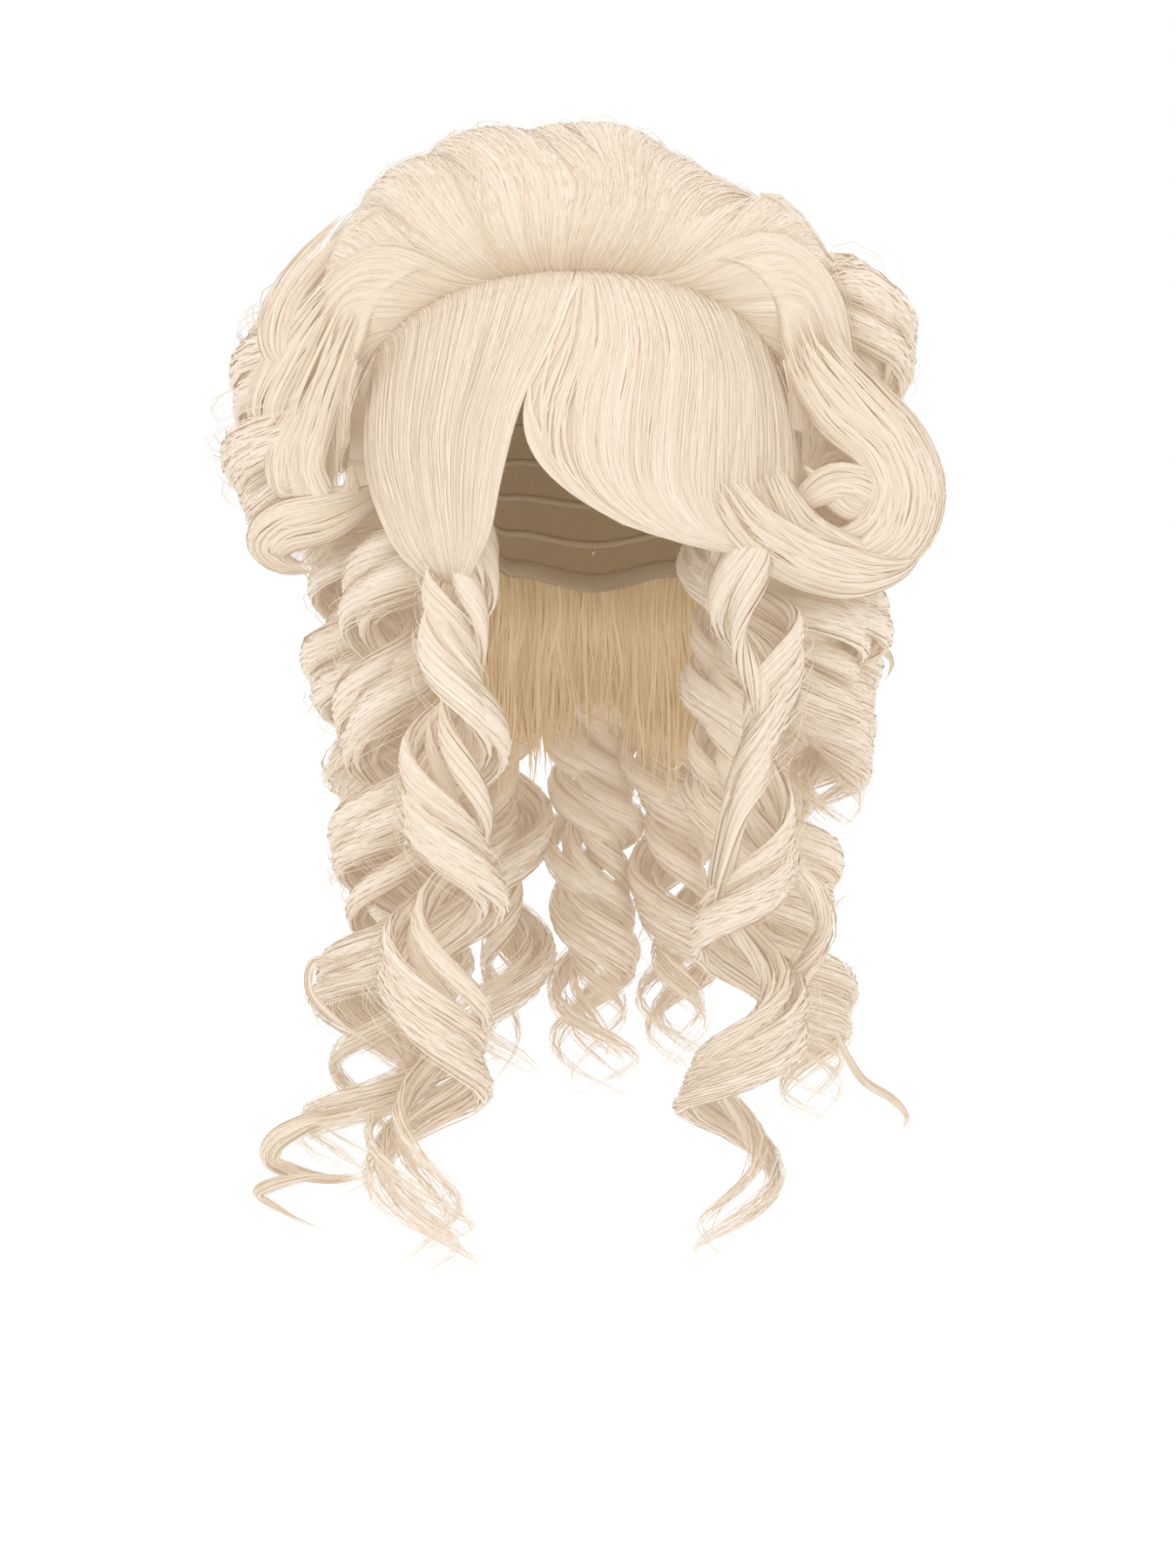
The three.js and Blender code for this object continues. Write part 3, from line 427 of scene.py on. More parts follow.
def streak_group():
    """Fine streaks that run along the hair. Lie is metres across and along. The results go from 0 to 1."""
    given = {"Lie": None, "Strands per metre": 1800, "Drawn out": 60}
    group, given, result = new_group("strand streaks", given, ("Streak", "Ridge"))
    fineness = given["Strands per metre"]
    apart = add_node(group, "SeparateXYZ", {0: given["Lie"]})
    across = add_node(group, "Math", {0: apart[0], 1: fineness}, operation="MULTIPLY")
    slow = add_node(group, "Math", {0: fineness, 1: given["Drawn out"]}, operation="DIVIDE")
    along = add_node(group, "Math", {0: apart[1], 1: slow[0]}, operation="MULTIPLY")
    lay = add_node(group, "CombineXYZ", {0: across[0], 1: along[0]})
    for label, scale, detail in (("Streak", 0.45, 3), ("Ridge", 1.0, 1)):
        speckle = {"Vector": lay[0], "Scale": scale, "Detail": detail, "Roughness": 0.65}
        noise = add_node(group, "TexNoise", speckle)
        spread = add_node(group, "MapRange", {"Value": noise["Fac"], "From Min": 0.28, "From Max": 0.72})
        group.links.new(spread[0], result[label])
    return group


strand_streaks = streak_group()


def hair_finish(name, tones, fineness, gloss):
    """Fine synthetic hair. tones go from the crevices to the lit strands, as shares and colours."""
    even = {"Specular IOR Level": 0.5, "Sheen Weight": 0.12, "Sheen Roughness": 0.5}
    # Emission in the hair's own colour is a painted glow that lifts the shade.
    even["Emission Strength"] = painted_glow
    material, tree, shader = new_finish(name, even)
    lie = add_node(tree, "UVMap", {}, uv_map="strand")
    drawn_fine = {"Strands per metre": fineness, "Lie": lie[0]}
    streaks = add_node(tree, "Group", drawn_fine, node_tree=strand_streaks)
    own = add_node(tree, "UVMap", {}, uv_map="tone")
    parts = add_node(tree, "SeparateXYZ", {0: own[0]})
    # The colour mixes painted shade, lighter for higher wisps and darker in the bodies beneath and at the
    # roots, with the streaks and a random tone for each wisp.
    depth = -0.02
    for part, weight in ((parts[1], 0.5), (streaks["Streak"], 0.38), (parts[0], 0.16)):
        depth = add_node(tree, "Math", {0: part, 1: weight, 2: depth}, operation="MULTIPLY_ADD")[0]
    colour = tree.nodes.new("ShaderNodeValToRGB")
    feed(tree, colour, {0: depth})
    stops = colour.color_ramp.elements
    while len(stops) < len(tones):
        stops.new(0.5)
    for stop, (position, tint) in zip(stops, tones):
        stop.position = position
        stop.color = (*tint, 1)
    rough = {"Value": streaks["Streak"], "To Min": gloss + 0.14, "To Max": gloss - 0.06}
    gleam = add_node(tree, "MapRange", rough)
    bump = add_node(tree, "Bump", {"Height": streaks["Ridge"], "Strength": 0.3, "Distance": 0.0003})
    feed(tree, shader, {"Base Color": colour.outputs[0], "Emission Color": colour.outputs[0]})
    feed(tree, shader, {"Roughness": gleam[0], "Normal": bump[0]})
    return material


blonde_tones = [
    (0.0, (0.52, 0.39, 0.24)),
    (0.25, (0.645, 0.52, 0.375)),
    (0.55, (0.74, 0.632, 0.505)),
    (1.0, (0.825, 0.745, 0.645)),
]
blonde = hair_finish("blonde hair", blonde_tones, 2200, 0.45)
for n, (left, right) in enumerate(zip(crown_seams, crown_seams[1:])):
    label, share = np.meshgrid(np.linspace(left, right, 11), np.linspace(0, 1, 49))
    skin, facing = crown_lie(label, share)
    lining = off_head(unit(skin + [0, 0, crown_to_ear]), cap_wall + seat_gap)
    body = slab(skin, lining, grain_of(skin), 0.4)
    reach = (max(-1, left - 0.03), min(1, right + 0.03))
    seed = 100 + n * 10
    count = int(wisps_across_crown * (right - left))
    long_wisps = comb(
        crown_lie, seed, count, 26, (0.0007, 0.0022), (0.0002, 0.001), reach, (0, 0.02), (0.96, 1.08),
        0.014, 5, 0.0006, (0.45, 0.8), root_shade=0.35, clumps=11, gather=0.25)
    short_wisps = comb(
        crown_lie, seed + 1, count // 2, 12, (0.0005, 0.0014), (0.0005, 0.0015), reach, (0, 0.6), (0.4, 1),
        0.035, 8, 0.001, (0.5, 0.9), root_shade=0.3, clumps=16, gather=0.3)
    fine_hairs = comb(
        crown_lie, seed + 2, 30, 16, (0.00025, 0.0004), (0.001, 0.004), reach, (0.02, 0.4), (0.5, 1),
        0.1, 40, 0.003, (0.5, 0.9))
    right_seam = (max(-1, right - 0.05), min(1, right + 0.05))
    seam_wisps = comb(
        crown_lie, seed + 3, 26, 14, (0.0008, 0.0022), (0.0004, 0.0014), right_seam, (0.4, 0.7), (0.94, 1.08),
        0.02, 5, 0.0006, (0.45, 0.8))
    # Darker wisps along the left seam: painted shade in the dip between two locks.
    left_seam = (max(-1, left - 0.02), min(1, left + 0.02))
    shaded_wisps = comb(
        crown_lie, seed + 4, 14, 18, (0.0006, 0.0016), (0.0008, 0.0014), left_seam, (0.04, 0.4), (0.25, 0.8),
        0.025, 5, 0.0006, (0.05, 0.4), gather=0.4)
    name = f"crown_lock_{n + 1}"
    layers = [body, long_wisps, short_wisps, fine_hairs, seam_wisps, shaded_wisps]
    sewn_piece(name, layers, blonde, "hair", name)


# The fringe: two halves of long straight blonde hair, sewn on along the parting in front of the crown. They
# are thin at their edges, and cut so that they part in the middle and sweep down to each side.
fringe_half_width = 0.110
fringe_reach = 0.119
fringe_drop = 0.142
fringe_wall = 0.009
fringe_part_gap = 0.45
fringe_root_span = 86
fringe_left_rows = {
    "wide": [0.88, 0.94, 0.98, 1, 0.99, 0.95, 0.88],
    "reach": [0.35, 0.62, 0.86, 0.98, 1, 0.98, 0.93],
    "straight": 0.1,
    "near": [-1, 1, 6, 15, 21, 27, 38],
    "far": [84, 76, 74, 71, 66, 60, 52],
    "near drop": [-0.03, 0, 0.16, 0.4, 0.62, 0.83, 0.98],
    "far drop": [0.3, 0.38, 0.5, 0.64, 0.78, 0.91, 1],
}
fringe_right_rows = {
    "wide": [0.88, 0.94, 0.98, 1, 1, 0.99, 0.98],
    "reach": [0.35, 0.62, 0.86, 0.98, 1, 0.99, 0.95],
    "straight": 0.47,
    "near": [1, -1, -6, -15, -11, 8, 36],
    "far": [84, 76, 74, 72, 71, 71, 72],
    "near drop": [-0.03, 0, 0.16, 0.4, 0.6, 0.78, 0.89],
    "far drop": [0.3, 0.4, 0.52, 0.64, 0.74, 0.82, 0.88],
}


def on_fringe(rows, hand, along, share):
    def read(name):
        return drawn(rows[name], along)

    near = read("near") + fringe_part_gap
    fall = np.clip(share, 0, 1) ** (1 - rows["straight"] * np.sin(np.pi * np.clip(along, 0, 1)))
    bearing = np.radians(near + (read("far") - near) * fall)
    bow = np.clip(share, 0, 1) ** (2 - ramp(along, 0, 0.5))
    drop = read("near drop") + (read("far drop") - read("near drop")) * bow
    hung = points_of(
        crown_offset * (1 - along) + hand * read("wide") * fringe_half_width * np.sin(bearing),
        -read("reach") * fringe_reach * np.cos(bearing),
        -drop * fringe_drop,
    )
    rooted = on_crown(0, hand * (fringe_part_gap + (fringe_root_span - fringe_part_gap) * share))
    rooted = rooted - [0, 5 * seat_gap, 0]
    held = ramp(along, 0, 0.2)[..., None]
    return rooted * (1 - held) + hung * held


def fringe_lie(rows, hand, across, along):
    share = np.clip((across + 1) / 2, 0, 1)
    here = on_fringe(rows, hand, along, share)
    after, before = (on_fringe(rows, hand, np.clip(along + step, 0, 1), share) for step in (0.01, -0.01))
    right, left = (on_fringe(rows, hand, along, np.clip(share + step, 0, 1)) for step in (0.01, -0.01))
    return here, unit(np.cross(after - before, right - left)) * hand


for name, rows, hand in (("fringe_left", fringe_left_rows, -1), ("fringe_right", fringe_right_rows, 1)):
    lie = partial(fringe_lie, rows, hand)
    across, along = np.meshgrid(np.linspace(-1, 1, 25), np.linspace(0, 0.985, 41))
    skin, facing = lie(across, along)
    thin = 0.3 + 0.7 * np.sin(np.pi * np.clip((across + 1) / 2, 0.04, 0.96)) ** 0.6
    depth = (fringe_wall * 0.8 * thin * (1 - 0.6 * along))[..., None]
    hanging = unit(points_of(-skin[..., 0], -skin[..., 1], 0))
    rooted = unit(np.array([0, 0, -crown_to_ear]) - skin)
    held = ramp(along, 0, 0.4)[..., None]
    skin = skin + hanging * 0.0006
    lining = skin + unit(rooted * (1 - held) + hanging * held) * depth
    body = slab(skin, lining, grain_of(skin), 0.5)
    wisps = comb(
        lie, 200 + hand, 760, 19, (0.0006, 0.002), (0.0, 0.0007), (-1, 1), (0, 0.01), (0.9, 1),
        0.012, 4, 0.0004, (0.42, 0.75), root_shade=0.6, clumps=8, tip=0.2, gather=0.25)
    over = comb(
        lie, 210 + hand, 160, 19, (0.0003, 0.0008), (0.0006, 0.0014), (-0.98, 0.98), (0, 0.1), (0.7, 1),
        0.025, 12, 0.001, (0.6, 0.9), root_shade=0.3)
    sewn_piece(name, [body, wisps, over], blonde, "hair", name)


# The temple sweeps: broad flat locks of the same blonde hair that leave the parting, lie along the front
# edge of the crown, and turn down beside the fringe. They are combed smooth and pinned under the curls at
# the temples.
sweep_width = 0.042
sweep_thickness = 0.009
sweeps = {
    "sweep_right_front": {
        "side": [5, 24, 44, 62, 78, 88, 88], "along": [0.03, 0.08, 0.13, 0.15, 0.13, 0.1, 0.03],
        "sink": [0, 0, 0, 0, 0.1, 0.35, 0.9], "forward": [0, 0, 0, 0, 0.15, 0.4, 0.8],
        "width": [0.22, 0.55, 0.85, 1, 0.95, 0.8, 0.4],
    },
    "sweep_right_upper": {
        "side": [14, 32, 50, 66, 79, 88], "along": [0.14, 0.24, 0.31, 0.33, 0.3, 0.25],
        "sink": [0, 0, 0, 0, 0, 0.15], "forward": [0, 0, 0, 0, 0, 0.2],
        "width": [0.2, 0.45, 0.62, 0.65, 0.6, 0.3],
    },
    "sweep_left_front": {
        "side": [-8, -26, -44, -62, -78, -88, -88], "along": [0.03, 0.07, 0.11, 0.14, 0.14, 0.12, 0.08],
        "sink": [0, 0, 0, 0, 0.1, 0.4, 1.1], "forward": [0, 0, 0, 0, 0.1, 0.25, 0.5],
        "width": [0.22, 0.5, 0.75, 0.9, 0.85, 0.65, 0.3],
    },
    "sweep_left_upper": {
        "side": [-18, -36, -53, -68, -80, -88], "along": [0.13, 0.22, 0.28, 0.31, 0.3, 0.26],
        "sink": [0, 0, 0, 0, 0, 0.15], "forward": [0, 0, 0, 0, 0, 0.2],
        "width": [0.2, 0.42, 0.6, 0.65, 0.6, 0.3],
    },
}


def lens_body(middle, facing, half_width, half_thickness, shade_level, points_round=10):
    """A closed band with a lens-shaped section along a line of places."""
    run = unit(np.gradient(middle, axis=0))
    out, side = squared(facing, run)
    angle = np.linspace(0, 2 * np.pi, points_round, endpoint=False)
    w = np.cos(angle)[None, :, None] * half_width[:, None, None]
    t = (np.sin(angle) * np.abs(np.sin(angle)) ** 0.3)[None, :, None] * half_thickness[:, None, None]
    rings = middle[:, None] + side[:, None] * w + out[:, None] * t
    count = len(middle)
    n = np.arange(count * points_round).reshape(count, points_round)
    after = np.roll(n, -1, axis=1)
    quads = np.stack([n[:-1], after[:-1], after[1:], n[1:]], -1).reshape(-1, 4)
    half = points_round // 2
    caps = []
    for ring in (n[0][::-1], n[-1]):
        caps += [[ring[k], ring[k + 1], ring[-2 - k], ring[-1 - k]] for k in range(half - 1)]
    quads = np.concatenate([quads, np.array(caps)])
    points = rings.reshape(-1, 3)
    facings = smooth_facings(points, quads)
    if np.dot(facings[0], points[0] - middle[0]) < 0:
        quads, facings = quads[:, ::-1], -facings
    walked = lengths(middle, 0)
    strand = np.stack([np.broadcast_to(w[..., 0], n.shape), np.broadcast_to(walked[:, None], n.shape)], -1)
    # The whole band takes one painted shade.
    tone = np.stack([np.full(n.shape, 0.5), np.full(n.shape, shade_level)], -1)
    strand, tone = strand.reshape(-1, 2), tone.reshape(-1, 2)
    return {"points": points, "quads": quads, "facings": facings, "strand": strand, "tone": tone}


def sweep_lie(rows, hand, across, along, rooted=True):
    """The lie of a sweep. Where it is rooted, its strands come out of the parting one after the other."""
    first = 0.1 + 0.3 * (np.clip(hand * across, -1, 1) + 1) / 2 if rooted else 0
    out_of_root = ramp(along, 0, 0.3) if rooted else 1
    run_share = first + (1 - first) * along

    def read(key):
        return drawn(rows[key], run_share)

    side = np.clip(read("side"), -88, 88)
    back = np.clip(read("along") * out_of_root, 0.004, 1)
    tilt = np.clip(side, -84, 84)
    over = on_crown(back, tilt + 2) - on_crown(back, tilt - 2)
    facing = unit(np.cross(over, on_crown(back + 0.02, tilt) - on_crown(back - 0.004, tilt)))
    swell = np.maximum(read("width"), 0.7 * (1 - ramp(run_share, 0.3, 0.6)))
    swell = swell * (1 - 0.85 * ramp(run_share, 0.8, 1)) * out_of_root
    thick = sweep_thickness / 2 * swell
    place = on_crown(back, side) + facing * (thick + 2 * seat_gap)[..., None]
    place = place - points_of(0, read("forward"), read("sink")) * sweep_width
    out, beside = squared(facing, unit(np.gradient(place, axis=-2)))
    bow = thick * (0.7 - 0.9 * across ** 2)
    place = place + beside * (across * sweep_width / 2 * swell)[..., None] + out * bow[..., None]
    return place, out


for n, (name, rows) in enumerate(sweeps.items()):
    lie = partial(sweep_lie, rows, 1 if "right" in name else -1)
    share = np.linspace(0.24, 0.88, 41)
    middle, facing = lie(0 * share, share, False)
    swell = drawn(rows["width"], share) * ramp(share, 0.24, 0.55) * (1 - 0.95 * ramp(share, 0.66, 0.88))
    thick = sweep_thickness / 2 * (0.2 + 0.8 * swell)
    middle = middle - facing * (0.8 * thick)[:, None]
    body = lens_body(middle, facing, sweep_width / 2 * swell * 0.9, thick * 0.9, 0.5)
    wisps = comb(
        lie, 300 + n * 5, 340, 23, (0.0006, 0.0022), (0.0002, 0.001), (-1, 1), (0, 0.03), (0.62, 0.96),
        0.06, 6, 0.0007, (0.45, 0.8), clumps=3, tip=0.45, gather=0.3)
    hairs = comb(
        lie, 301 + n * 5, 40, 24, (0.0003, 0.0005), (0.0005, 0.002), (-1.15, 1.15), (0, 0.1), (0.6, 0.9),
        0.15, 30, 0.002, (0.5, 0.8))
    sewn_piece(name, [body, wisps, hairs], blonde, "hair", name)


# The inner fall: a curtain of straighter hair, sewn in rows along the cap's lower edge, that hangs behind
# the ringlets. Its darker, more golden colour is painted shade, because little light reaches it.
fall_half_width = 0.080
fall_reach = 0.098
fall_drop = 0.268
fall_wall = 0.008
fall_lap = 0.010
fall_half_span = 88
fall_scallop = 0.05
fall_locks = 7


def fall_lie(across, along):
    bearing = 180 + across * fall_half_span
    end = -fall_drop * (1 - fall_scallop * (1 - np.cos(fall_locks * np.radians(bearing))))
    top = fall_lap - cap_edge_drop(bearing)
    z = top + (end - top) * along
    sewn = level_radius(bearing, np.maximum(z, -fall_drop / 1.5), cap_wall + 5 * seat_gap + fall_wall)
    hung = oval_radius(bearing, fall_half_width, fall_reach)
    radius = sewn + (hung - sewn) * ramp(along, 0, 0.5)
    turn = np.radians(bearing)
    facing = points_of(np.sin(turn), -np.cos(turn), 0 * z)
    return points_of(radius * np.sin(turn), -radius * np.cos(turn), z), facing


def fall_inside(across, along):
    place, facing = fall_lie(across, along)
    return place - facing * (fall_wall * (1 - 0.5 * along))[..., None], -facing


golden_shade_tones = [
    (0.0, (0.46, 0.3, 0.14)),
    (0.35, (0.62, 0.46, 0.26)),
    (0.65, (0.74, 0.59, 0.38)),
    (1.0, (0.84, 0.71, 0.52)),
]
golden = hair_finish("golden inner hair in shade", golden_shade_tones, 2000, 0.46)
across, along = np.meshgrid(np.linspace(-1, 1, 81), np.linspace(0, 0.76, 25))
skin, facing = fall_lie(across, along)
flutes = 0.0012 * np.sin(across * 60) * ramp(along, 0.05, 0.5)
outer = skin - facing * (0.001 - flutes)[..., None]
inner = skin - facing * (fall_wall * (1 - 0.5 * along) - 0.001 - flutes)[..., None]
layers = [slab(outer, inner, grain_of(skin), 0.35)]
for lie, seed, count, steps, wide, lift, shade_level in (
    (fall_inside, 400, 760, 16, (0.0006, 0.0024), (-0.0006, 0.0012), (0.3, 0.9)),
    (fall_lie, 401, 340, 14, (0.0008, 0.003), (-0.0006, 0.001), (0.4, 1.0)),
):
    layers.append(comb(
        lie, seed, count, steps, wide, lift, (-1, 1), (0, 0.08), (0.74, 1.03),
        0.014, 10, 0.002, shade_level, clumps=9, tip=0.45, gather=0.4))
sewn_piece("inner_fall", layers, golden, "inner_hair", "inner_fall")


# The ringlets and curls: locks of the blonde hair wound hot round a rod, so that each hangs as an open coil
# of a flat band. They are sewn to the cap in bunches at the temples, beside the fringe and round the back.
side_reach = 0.180
back_reach = 0.150
hair_length = 0.480
coil_radius = 0.026
band_width = 0.034
lock_thickness = 0.010
wisps_per_lock = 63
wisps_per_metre = 5200
# Each row gives the line that the coil hangs on, as shares of the reach and the length, and the coil's radius
# as shares from top to tip.
ringlets = {
    "curl_left_high": {
        "line": [(-0.622, 0.12, -0.01), (-0.79, 0.027, 0.055), (-0.85, -0.027, 0.165),
                 (-0.783, -0.013, 0.292)],
        "coil": [0.4, 0.66, 0.95, 0.95, 0.7], "turns": 3, "hand": 1, "band": 1.08, "start": 0.1,
    },
    "curl_right_high": {
        "line": [(0.556, 0.2, 0.017), (0.711, 0.107, 0), (0.744, 0.04, 0.075), (0.733, 0, 0.163)],
        "coil": [0.5, 0.6, 0.65, 0.5], "turns": 1.8, "hand": -1, "band": 1.05,
    },
    "curl_right_barrel": {
        "line": [(0.6, 0.227, 0.2), (0.67, 0.08, 0.21), (0.68, -0.08, 0.215), (0.67, -0.28, 0.215)],
        "coil": [1, 1.1, 1.1, 0.9], "turns": 1.7, "hand": 1, "band": 1, "start": 0.25,
    },
    "ringlet_left_outer": {
        "line": [(-0.567, 0.24, 0.179), (-0.678, 0.147, 0.312), (-0.678, 0.133, 0.427),
                 (-0.622, 0.107, 0.558)],
        "coil": [0.7, 0.78, 0.78, 0.6], "turns": 3.1, "hand": 1, "band": 0.95,
    },
    "ringlet_left_long": {
        "line": [(-0.444, -0.08, 0.158), (-0.556, -0.16, 0.344), (-0.544, -0.307, 0.583),
                 (-0.667, -0.48, 0.921)],
        "coil": [0.7, 0.85, 0.9, 0.95, 1.1], "turns": 7, "hand": 1, "band": 1, "open": 0.4,
    },
    "ringlet_left_front": {
        "line": [(-0.344, -0.333, 0.163), (-0.367, -0.533, 0.323), (-0.4, -0.64, 0.604),
                 (-0.478, -0.693, 0.996)],
        "coil": [0.3, 0.4, 0.75, 0.95, 0.9], "turns": 6, "hand": -1, "band": 0.95, "wind": 1.2, "open": 0.4,
    },
    "ringlet_left_back": {
        "line": [(-0.389, 0.52, 0.25), (-0.489, 0.613, 0.396), (-0.517, 0.573, 0.625),
                 (-0.556, 0.44, 0.875)],
        "coil": [0.7, 0.88, 0.9, 0.85], "turns": 5.6, "hand": 1, "band": 0.95,
    },
    "ringlet_right_middle": {
        "line": [(0.6, 0.013, 0.271), (0.622, -0.04, 0.325), (0.628, -0.067, 0.392), (0.622, -0.04, 0.475)],
        "coil": [0.8, 0.9, 0.85, 0.7], "turns": 2.2, "hand": -1, "band": 1,
    },
    "ringlet_right_outer": {
        "line": [(0.511, 0.333, 0.196), (0.667, 0.307, 0.312), (0.7, 0.293, 0.438), (0.689, 0.253, 0.579)],
        "coil": [0.7, 0.8, 0.8, 0.65], "turns": 3.4, "hand": -1, "band": 0.95, "start": 0.3,
    },
    "ringlet_right_inner": {
        "line": [(0.367, -0.04, 0.192), (0.394, -0.093, 0.344), (0.389, -0.133, 0.479),
                 (0.367, -0.16, 0.625)],
        "coil": [0.5, 0.55, 0.55, 0.45], "turns": 3.4, "hand": -1, "band": 0.8,
    },
    "ringlet_right_front": {
        "line": [(0.344, -0.333, 0.163), (0.433, -0.56, 0.354), (0.4, -0.66, 0.625),
                 (0.344, -0.707, 0.975)],
        "coil": [0.6, 0.85, 0.95, 0.42, 0.75, 1.15, 1, 0.6], "turns": 5.8, "hand": 1, "band": 0.95,
        "wind": 1.25, "open": 0.8,
    },
    "strand_right": {
        "line": [(0.483, -0.653, 0.548), (0.617, -0.573, 0.633), (0.511, -0.48, 0.729),
                 (0.722, -0.413, 0.762)],
        "coil": [0.05, 0.05], "turns": 1, "hand": 1, "band": 0.38,
    },
    "ringlet_right_back": {
        "line": [(0.389, 0.533, 0.254), (0.5, 0.633, 0.396), (0.556, 0.6, 0.646), (0.678, 0.427, 0.917)],
        "coil": [0.7, 0.88, 0.9, 0.85], "turns": 6, "hand": -1, "band": 0.95,
    },
    "ringlet_back_left": {
        "line": [(-0.222, 0.667, 0.279), (-0.256, 0.8, 0.417), (-0.261, 0.813, 0.625),
                 (-0.267, 0.76, 0.896)],
        "coil": [0.7, 0.76, 0.76, 0.74], "turns": 5.6, "hand": 1, "band": 0.95,
    },
    "ringlet_back_middle": {
        "line": [(0, 0.693, 0.279), (0, 0.867, 0.417), (0, 0.893, 0.625), (0, 0.84, 0.929)],
        "coil": [0.7, 0.76, 0.76, 0.74], "turns": 6, "hand": -1, "band": 0.95, "start": 0.2,
    },
    "ringlet_back_right": {
        "line": [(0.222, 0.667, 0.279), (0.25, 0.8, 0.417), (0.261, 0.813, 0.625), (0.278, 0.747, 0.883)],
        "coil": [0.7, 0.76, 0.76, 0.74], "turns": 5.6, "hand": -1, "band": 0.95, "start": 0.4,
    },
}


def hang_line(places, share):
    """A smooth line through four places, each stretch timed by the root of its length."""
    before = 2 * places[0] - places[1]
    after = 2 * places[-1] - places[-2]
    knots = np.vstack([before, places, after])
    at = np.clip(share, 0, 1) * (len(places) - 1)
    row = np.minimum(np.floor(at).astype(int), len(places) - 2)
    t = (at - row)[..., None]
    p, a, b, q = (knots[row + n] for n in range(4))
    times = [np.sqrt(np.linalg.norm(y - x, axis=-1, keepdims=True)) for x, y in ((p, a), (a, b), (b, q))]
    leave = ((a - p) / times[0] - (b - p) / (times[0] + times[1]) + (b - a) / times[1]) * times[1]
    arrive = ((b - a) / times[1] - (q - a) / (times[1] + times[2]) + (q - b) / times[2]) * times[1]
    return a + t * (leave + t * (3 * (b - a) - 2 * leave - arrive + t * (2 * (a - b) + leave + arrive)))


def coil_of(row, lock):
    """The lie of one lock of a ringlet. It winds round the ringlet's line in the lock's own way."""
    places = np.array(row["line"]) * [side_reach, back_reach, -hair_length]
    steps = np.linspace(0, 1, 301)
    line = hang_line(places, steps)
    heading = unit(np.gradient(line, axis=0))
    across = unit(line[0] * [1, 1, 0])
    sides = []
    for run in heading:
        across = unit(across - run * np.dot(across, run))
        sides.append(across)
    sides = np.array(sides)
    tall = ramp(row["turns"], 3.2, 5)
    turns = row["turns"] * (1 - 0.22 * tall)

    def read(table, share):
        return unit(np.stack([np.interp(share, steps, table[:, n]) for n in range(3)], -1))

    def middle(share):
        share = np.clip(share, 0, 1)
        a, run = read(sides, share), read(heading, share)
        b = np.cross(run, a)
        slim = 1 - 0.22 * tall * (1 - ramp(share, 0.4, 0.75))
        ripple = 1 + lock["ripple"] * np.sin(2 * np.pi * (1.7 * share + lock["phase"] * 3))
        radius = coil_radius * drawn(row["coil"], share) * slim * ripple * ramp(share, 0, 0.7 / turns)
        wound = turns * share ** (row.get("wind", 1) + lock["late"] + 0.32 * tall)
        apart = lock["phase"] * ramp(share, 0, 0.1) * (1 - row.get("open", 0) * ramp(share, 0.5, 0.68))
        turn = row["hand"] * 2 * np.pi * (row.get("start", 0) + apart + wound)
        away = a * np.cos(turn)[..., None] + b * np.sin(turn)[..., None]
        held = ramp(share, 0, 0.1)[..., None]
        loose = (ramp(share, 0, 0.2) * (1 - 0.6 * ramp(share, 0.6, 1)))[..., None]
        stray = (a * lock["aside"][0] + b * lock["aside"][1]) * loose
        here = hang_line(places, share) + away * (radius * lock["reach"])[..., None] + stray
        here = here - sides[0] * (0.012 * (1 - ramp(share, 0, 0.15)))[..., None]
        return here, unit(a * (1 - held) + away * held)

    def half_width(share):
        taper = (0.15 + 0.85 * ramp(share, 0, 0.16)) * (1 - 0.75 * ramp(share, 0.8, 1))
        taper = taper * (1 - 0.5 * row.get("open", 0) * ramp(share, 0.5, 0.68))
        return band_width / 2 * row["band"] * lock["broad"] * taper

    def lie(across, share, face=1):
        here, facing = middle(share)
        out, side = squared(facing, unit(middle(share + 0.002)[0] - middle(share - 0.002)[0]))
        half = half_width(share)
        thick = lock_thickness / 2 * (0.5 + 0.5 * lock["broad"]) * (1 - 0.6 * ramp(share, 0.8, 1))
        turn = np.clip(across, -1.3, 1.3) * np.radians(80)
        place = here + side * (across * half)[..., None] + out * (face * thick * np.cos(turn))[..., None]
        lean = face * np.cos(turn)[..., None] * out + (np.sin(turn) * 0.6)[..., None] * side
        return place, unit(lean)

    return middle, half_width, lie


def locks_of(seed, count, spread, aside):
    """How each of a ringlet's locks differs: the first few lie together outside, the others fill in and are
    painted darker, as shade inside the coil.
    """
    rng = np.random.default_rng(seed)
    table = []
    for n in range(count):
        outer = n < count * 0.6
        table.append({
            "phase": spread * rng.uniform(-1, 1) if outer else rng.uniform(0.2, 0.8),
            "reach": rng.uniform(0.85, 1.02) if outer else rng.uniform(0.4, 0.8),
            "broad": rng.uniform(0.36, 0.56) if outer else rng.uniform(0.34, 0.5),
            # Inner locks are painted in shade, 0.85 as light as the outer ones.
            "shade_factor": 1.0 if outer else 0.85,
            "late": rng.normal(0, 0.06),
            "ripple": rng.uniform(0, 0.2),
            "aside": rng.normal(0, aside, 2),
        })
    return table


